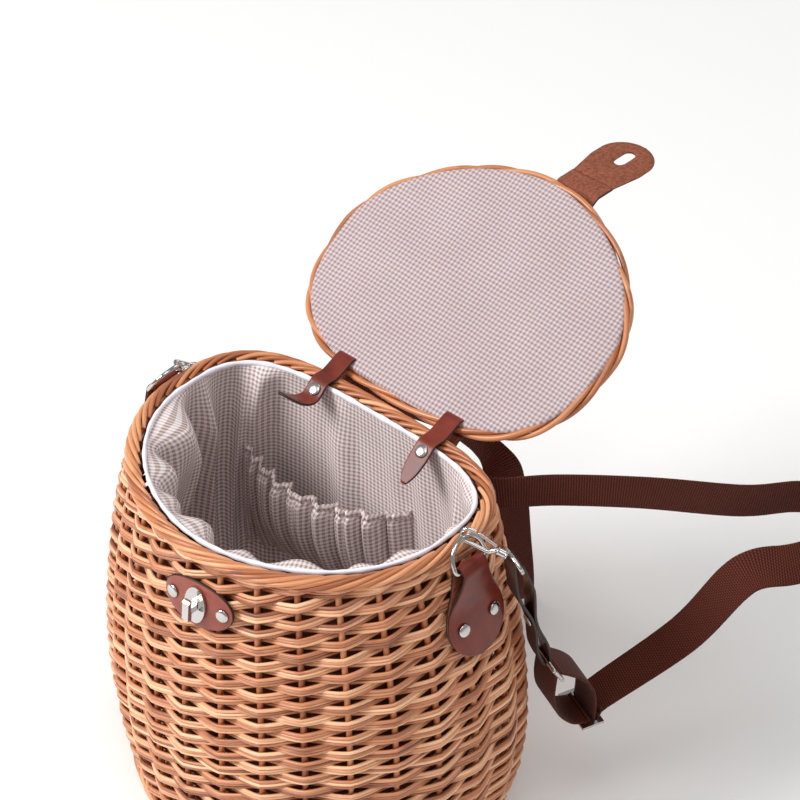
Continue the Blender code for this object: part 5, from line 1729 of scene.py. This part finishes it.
def hook(side, word):
    held, ahead, out, tilt, reach = hook_frame(side)
    bend = HOOK_OPENING / 2 + HOOK_WIRE
    centre = bend - (RING_WIRE + HOOK_WIRE + 2 * TOUCH_GAP) / tilt
    neck = reach - BARREL_LENGTH / 2

    def at(u, v):
        return held + ahead * u + out * v

    points = [at(neck, 0), at(neck - HOOK_WIRE / 2, 0)]
    points.append(at(neck - 2 * HOOK_WIRE, HOOK_SHIFT - bend * 0.55))
    points.append(at(neck - 4 * HOOK_WIRE, HOOK_SHIFT - bend * 0.95))
    points += [at(u, v) for u, v in arc((centre, HOOK_SHIFT), bend, np.linspace(270, 90, 9))]
    points.append(at(centre + HOOK_TIP, HOOK_SHIFT + bend))
    line = smooth_path(points, 5)
    across = np.cross(ahead, out)
    shape = Shape()
    size = np.interp(np.linspace(0, 1, len(line)), (0, 0.93, 1), (1.0, 1.0, 0.9)) * HOOK_WIRE
    add_tube(shape, line, size, 14, hint=across)
    barrel = [at(neck + BARREL_LENGTH * share, 0) for share in BARREL_SHARES]
    add_tube(shape, barrel, [BARREL_RADIUS * size for size in BARREL_SIZES], 22, hint=across)
    metal_piece(shape, f"hook_metal_{word}", "basket", f"snap_hook_{word}")
    hinge = at(neck - GATE_RADIUS - TOUCH_GAP, HOOK_WIRE + GATE_RADIUS + TOUCH_GAP)
    far = at(centre + HOOK_TIP + GATE_RADIUS + TOUCH_GAP, HOOK_SHIFT + bend)
    gate = Shape()
    end = (far - hinge) * 0.05
    add_tube(gate, [hinge, hinge + end, far - end, far], GATE_RADIUS, 12, hint=across)
    metal_piece(gate, f"gate_metal_{word}", f"gate_{word}", f"hook_gate_{word}")


def eye_points(side):
    """The swivel eye: a rounded triangle from the barrel to the bar that carries the leather."""
    _, ahead, _, _, _ = hook_frame(side)
    across = chain_axes(side)[0]
    top = bar_place(side, BARREL_PLACES) + ahead * (BARREL_LENGTH / 2 + EYE_WIRE + EYE_SWIVEL)
    bar = bar_place(side, EYE_PLACES)
    half = EYE_WIDTH / 2
    outline = ((1, 0.22), (0.78, 0.84), (0.45, 1.0), (0, 0.96))
    one = [top + (bar - top) * (1 - rise) + across * half * wide for rise, wide in outline]
    two = [top + (bar - top) * (1 - rise) - across * half * wide for rise, wide in outline[::-1]]
    return one + two


def chain(side, word):
    """The swivel eye, the riveted leather loop and the square buckle under it."""
    across = chain_axes(side)[0]
    eye_shape = Shape()
    add_tube(eye_shape, smooth_ring(eye_points(side), 6), EYE_WIRE, 12, closed=True, hint=(0.2, 0.9, 0.4))
    metal_piece(eye_shape, f"eye_metal_{word}", "basket", f"hook_eye_{word}")
    eye, buckle = bar_place(side, EYE_PLACES), chain_place(side, BUCKLE_NEAR_PLACE)
    round_eye = EYE_WIRE + TOUCH_GAP + LEATHER / 2
    round_buckle = BUCKLE_WIRE + TOUCH_GAP + LEATHER / 2
    path = smooth_ring(layered_loop(eye, buckle, across, round_eye, round_buckle, CONNECTOR_REACH), 3)
    loop = Shape()
    top, under = strip_rows(path, across, CONNECTOR_WIDTH, LEATHER, 7, closed=True)
    add_plate(loop, top, under, closed=True)
    name, nodes = f"connector_leather_{word}", [f"strap_connector_{word}"]
    leather_piece(loop, name, "basket", nodes, "connector_leather", "connector_flesh")
    buckle_frame(side, word)


def buckle_frame(side, word):
    across = chain_axes(side)[0]
    near, far = chain_place(side, BUCKLE_NEAR_PLACE), chain_place(side, BUCKLE_FAR_PLACE)
    half = WEB_WIDTH / 2 + WEB_PLAY + BUCKLE_WIRE
    corner = BUCKLE_WIRE
    inward = unit(far - near) * corner
    points = []
    for bar, way in ((near, 1), (far, -1)):
        points.append(bar - across * half * way + inward * way)
        points.append(bar - across * (half - corner) * way)
        points.append(bar + across * (half - corner) * way)
        points.append(bar + across * half * way + inward * way)
    shape = Shape()
    add_tube(shape, smooth_ring(points, 5), BUCKLE_WIRE, 12, closed=True, hint=(0.2, 0.9, 0.4))
    metal_piece(shape, f"buckle_metal_{word}", "basket", f"strap_buckle_{word}")


def slider_radii():
    """The sewn end's radius about the slider's middle bar, the passing layer's, and the slots' far edge."""
    sewn = math.hypot(SLIDER_BAR, SLIDER_THICKNESS) / 2 + TOUCH_GAP + WEB_THICKNESS / 2
    passing = sewn + WEB_THICKNESS + TOUCH_GAP
    return sewn, passing, passing + WEB_THICKNESS / 2 + TOUCH_GAP


def tail_path():
    """The webbing in the chain's plane, from the slider's first slot by the buckle to its sewn end."""
    sewn, passing, slot_end = slider_radii()
    top = SLIDER_THICKNESS / 2
    corner = WEB_THICKNESS / 2 + TOUCH_GAP
    path = arc((slot_end, top), corner, (135, 157, 180))
    path += arc((0, 0), passing, np.linspace(0, -180, 9))
    path += arc((-slot_end, top), corner, (0, 23, 45))
    far = np.array(BUCKLE_FAR_PLACE) - np.array(SLIDER_PLACE)
    aside = np.array([-far[1], far[0]]) / np.linalg.norm(far)
    round_buckle = BUCKLE_WIRE + TOUCH_GAP + WEB_THICKNESS / 2
    ways = (0.15, 0.3, 0.45, 0.6, 0.75, 0.88)
    for way in ways:
        apart = slot_end * (1 - way) + round_buckle * way + TAIL_BULGE * math.sin(math.pi * way)
        path.append(tuple(far * way + aside * apart))
    start = math.atan2(aside[1], aside[0])
    for turn in np.linspace(0, math.pi, 7):
        path.append(tuple(far + round_buckle * np.array([math.cos(start - turn), math.sin(start - turn)])))
    for way in ways[::-1]:
        apart = sewn * (1 - way) + round_buckle * way + TAIL_BULGE * math.sin(math.pi * way)
        path.append(tuple(far * way - aside * apart))
    end = start + math.pi
    for turn in np.radians(np.linspace(0, 283, 12)):
        path.append((sewn * math.cos(end - turn), sewn * math.sin(end - turn)))
    return path


def strap_start(side):
    """Points of a strap that lie on the back wall, from under the patch outwards."""
    z = MOUTH_HEIGHT - BACK_PATCH_DROP
    lift = TOUCH_GAP + WEB_THICKNESS / 2
    places = ((0.12, lift), (0.5, lift), (0.85, lift + WEB_THICKNESS))
    return [wall_point(0.5, -side * way * BACK_PATCH_WIDTH, z, away) for way, away in places]


def strap_route(side, shares):
    middle = wall_point(0.5, 0, MOUTH_HEIGHT - BACK_PATCH_DROP, 0)
    _, back, rise = chain_axes(side)
    tail = [chain_place(side, np.array(SLIDER_PLACE) + place) for place in tail_path()]
    lead = tail[0] + (back + rise) * WEB_WIDTH / 3
    free = [middle + np.array(share) * ROUTE_REACH for share in shares]
    path = smooth_path(strap_start(side) + free + [lead, tail[0]], 4)
    return np.vstack([path, tail[1:]]), len(path)


def strap_across(count, total, turns):
    """The width direction along a strap: upright at the patch, then turned to the chain's."""
    stations = np.r_[np.linspace(0, 1, count), np.ones(total - count)]
    keys = np.array([way for way, _ in turns])
    values = np.array([unit(direction) for _, direction in turns])
    return np.array([unit([np.interp(s, keys, values[:, i]) for i in range(3)]) for s in stations])


def patch_slope():
    """The wall's upward direction under the back patch."""
    z = MOUTH_HEIGHT - BACK_PATCH_DROP
    return unit(wall_point(0.5, 0, z + LEATHER, 0) - wall_point(0.5, 0, z - LEATHER, 0))


def straps():
    up = (0, 0, 1)
    slope = patch_slope()
    right_turns = [(0, slope), (0.2, slope), (0.32, up), (0.5, up)]
    right_turns += [(0.72, (-0.75, -0.15, 0.6)), (0.93, -chain_axes(1)[0])]
    left_turns = [
        (0, slope),
        (0.15, slope),
        (0.24, up),
        (0.38, up),
        (0.46, (0.5, 0.866, 0)),
        (0.68, (0.5, 0.866, 0)),
        (0.93, -chain_axes(-1)[0]),
    ]
    for side, word, shares, turns in (
        (1, "right", RIGHT_ROUTE_SHARES, right_turns),
        (-1, "left", LEFT_ROUTE_SHARES, left_turns),
    ):
        path, count = strap_route(side, shares)
        across = strap_across(count, len(path), turns)
        shape = Shape()
        fine, fine_across = finer(path, across, 3)
        top, under = strip_rows(fine, fine_across, WEB_WIDTH, WEB_THICKNESS, 7)
        add_plate(shape, top, under, edge=0.3)
        shape.looks = [0] * len(shape.looks)
        piece = shape.build(f"webbing_{word}", [LOOKS["webbing"]], "webbing", "basket")
        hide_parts(f"strap_{word}")


def finer(path, across, steps):
    """A path and its width directions with steps pieces for each one."""
    line = smooth_path(path, steps)
    ways = np.linspace(0, len(path) - 1, len(line))
    made = np.array([np.interp(ways, range(len(path)), across[:, i]) for i in range(3)]).T
    return line, made / np.linalg.norm(made, axis=1)[:, None]


def rings():
    for side, word in ((1, "right"), (-1, "left")):
        shape = Shape()
        line = smooth_ring(ring_points(side), 4)
        add_tube(shape, line, RING_WIRE, 14, closed=True, hint=tab_frame(side)[2])
        metal_piece(shape, f"ring_metal_{word}", f"ring_{word}", f"d_ring_{word}")


# The set.


def floor():
    size = 6.0
    mesh = bpy.data.meshes.new("floor")
    points = [(-size, -size, 0), (size, -size, 0), (size, size, 0), (-size, size, 0)]
    mesh.from_pydata(points, [], [(0, 1, 2, 3)])
    ground = bpy.data.objects.new("floor", mesh)
    bpy.context.scene.collection.objects.link(ground)
    look = Look("floor", 0.9, specular=0.1)
    look.colour(linear(252, 252, 251))
    look.bump(look.noise(look.place(), 30.0, 2.0), 0.0003, 0.05)
    mesh.materials.append(look.material)


def world():
    made = bpy.data.worlds.new("studio")
    made.use_nodes = True
    made.node_tree.nodes["Background"].inputs["Color"].default_value = (1, 1, 1, 1)
    made.node_tree.nodes["Background"].inputs["Strength"].default_value = WORLD_LIGHT
    bpy.context.scene.world = made


def lamp(name, place, size, power, target=(0, 0, 0.25)):
    data = bpy.data.lights.new(name, "AREA")
    data.energy = power
    data.shape = "RECTANGLE"
    data.size, data.size_y = size
    made = bpy.data.objects.new(name, data)
    bpy.context.scene.collection.objects.link(made)
    made.location = place
    way = Vector(target) - Vector(place)
    made.rotation_euler = way.to_track_quat("-Z", "Y").to_euler()


def camera():
    a, e = CAMERA_AZIMUTH, CAMERA_ELEVATION
    back = Vector((math.sin(a) * math.cos(e), -math.cos(a) * math.cos(e), math.sin(e)))
    data = bpy.data.cameras.new("camera")
    data.lens = CAMERA_LENS
    data.sensor_width = 36.0
    made = bpy.data.objects.new("camera", data)
    bpy.context.scene.collection.objects.link(made)
    made.location = Vector(CAMERA_TARGET) + back * CAMERA_DISTANCE
    made.rotation_euler = (-back).to_track_quat("-Z", "Y").to_euler()
    bpy.context.scene.camera = made


def looks():
    willow = (linear(116, 56, 30), linear(206, 134, 92), linear(255, 204, 160))
    stake = (linear(140, 74, 42), linear(190, 112, 68), linear(224, 156, 108))
    border = (linear(142, 76, 44), linear(198, 124, 78), linear(238, 174, 126))
    lid_checks = (linear(208, 197, 203), linear(186, 168, 169), linear(156, 132, 127))
    checks = (linear(246, 239, 243), linear(219, 203, 200), linear(170, 146, 134))
    return {
        "willow": willow_look("willow_weaver", *willow, 0.42),
        "stake": willow_look("willow_stake", *stake, 0.42),
        "border": willow_look("willow_border", *border, 0.36),
        "gingham": gingham_look("gingham", LID_CHECK, *lid_checks),
        "gingham_bag": gingham_look("gingham_bag", BAG_CHECK, *checks),
        # The lining's outer side, seen only through the gaps of the wall, is painted a dark brown shade instead
        # of its checks.
        "gingham_lining": gingham_look("gingham_lining", BAG_CHECK, *checks, painted_shade_back=linear(118, 68, 44)),
        "binding": binding_look(),
        "leather": leather_look("leather", linear(92, 28, 16), linear(142, 54, 34)),
        "plate_leather": leather_look("plate_leather", linear(120, 54, 42), linear(164, 82, 66)),
        "hinge_leather": leather_look("hinge_leather", linear(86, 28, 17), linear(134, 52, 33), 0.44),
        "connector_leather": leather_look("connector_leather", linear(54, 24, 18), linear(92, 44, 32)),
        "edge": edge_look(),
        "flesh": flesh_look("leather_flesh", linear(104, 56, 40), linear(164, 98, 74)),
        "connector_flesh": flesh_look("connector_flesh", linear(48, 28, 22), linear(90, 56, 44)),
        "webbing": webbing_look(),
        "nickel": nickel_look("nickel", linear(206, 203, 200), 0.11),
        "rivet": nickel_look("rivet_nickel", linear(206, 203, 200), 0.20),
        "board": board_look(),
    }


def rivets():
    """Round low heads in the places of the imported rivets, on the surfaces that they hold."""
    for name, node in frame["nodes"].items():
        if "rivet" not in name:
            continue
        points = np.array([tuple(v.co) for v in node.data.vertices])
        middle = points.mean(0)
        _, _, axes = np.linalg.svd(points - middle)
        normal = axes[2]
        heights = (points - middle) @ normal
        spread = np.linalg.norm(np.cross(points - middle, normal), axis=1)
        if spread[heights > 0].mean() > spread[heights < 0].mean():
            normal, heights = -normal, -heights
        base = middle + normal * heights.min()
        shape = Shape()
        add_dome(shape, base, normal, RIVET_RADIUS, RIVET_HEIGHT * 1.15, count=32)
        body = body_of(node)[0]
        metal_piece(shape, name.replace("rivet", "stud"), body, name, "rivet")


def kept_nodes():
    """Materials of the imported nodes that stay."""
    for name, look in KEPT.items():
        node = frame["nodes"][name]
        node.data.materials.clear()
        node.data.materials.append(LOOKS[look])


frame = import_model()
LOOKS = looks()
camera()
world()
floor()
for lamp_name, (place, size, power) in LAMPS.items():
    lamp(lamp_name, place, size, power)
wall_rods()
border_rods("rim_rods", rim_centre, RIM_ROD, RIM_HELIX, RIM_TURNS, "rim_border", RIM_SEED)
border_rods("foot_rods", foot_centre, FOOT_ROD, FOOT_HELIX, FOOT_TURNS, "foot_border", FOOT_SEED)
lid_border_rods()
lid_weave()
lining = lining_bag()
tape = binding()
pocket_piece, pocket_band = pocket()
lid_piece = lid_cloth()
for side, word in ((1, "right"), (-1, "left")):
    side_tab(side, word)
    hook(side, word)
    chain(side, word)
hinge_straps()
lock_plate()
back_patch()
tongue()
straps()
rings()
rivets()
kept_nodes()
bpy.context.scene.view_settings.view_transform = "Standard"
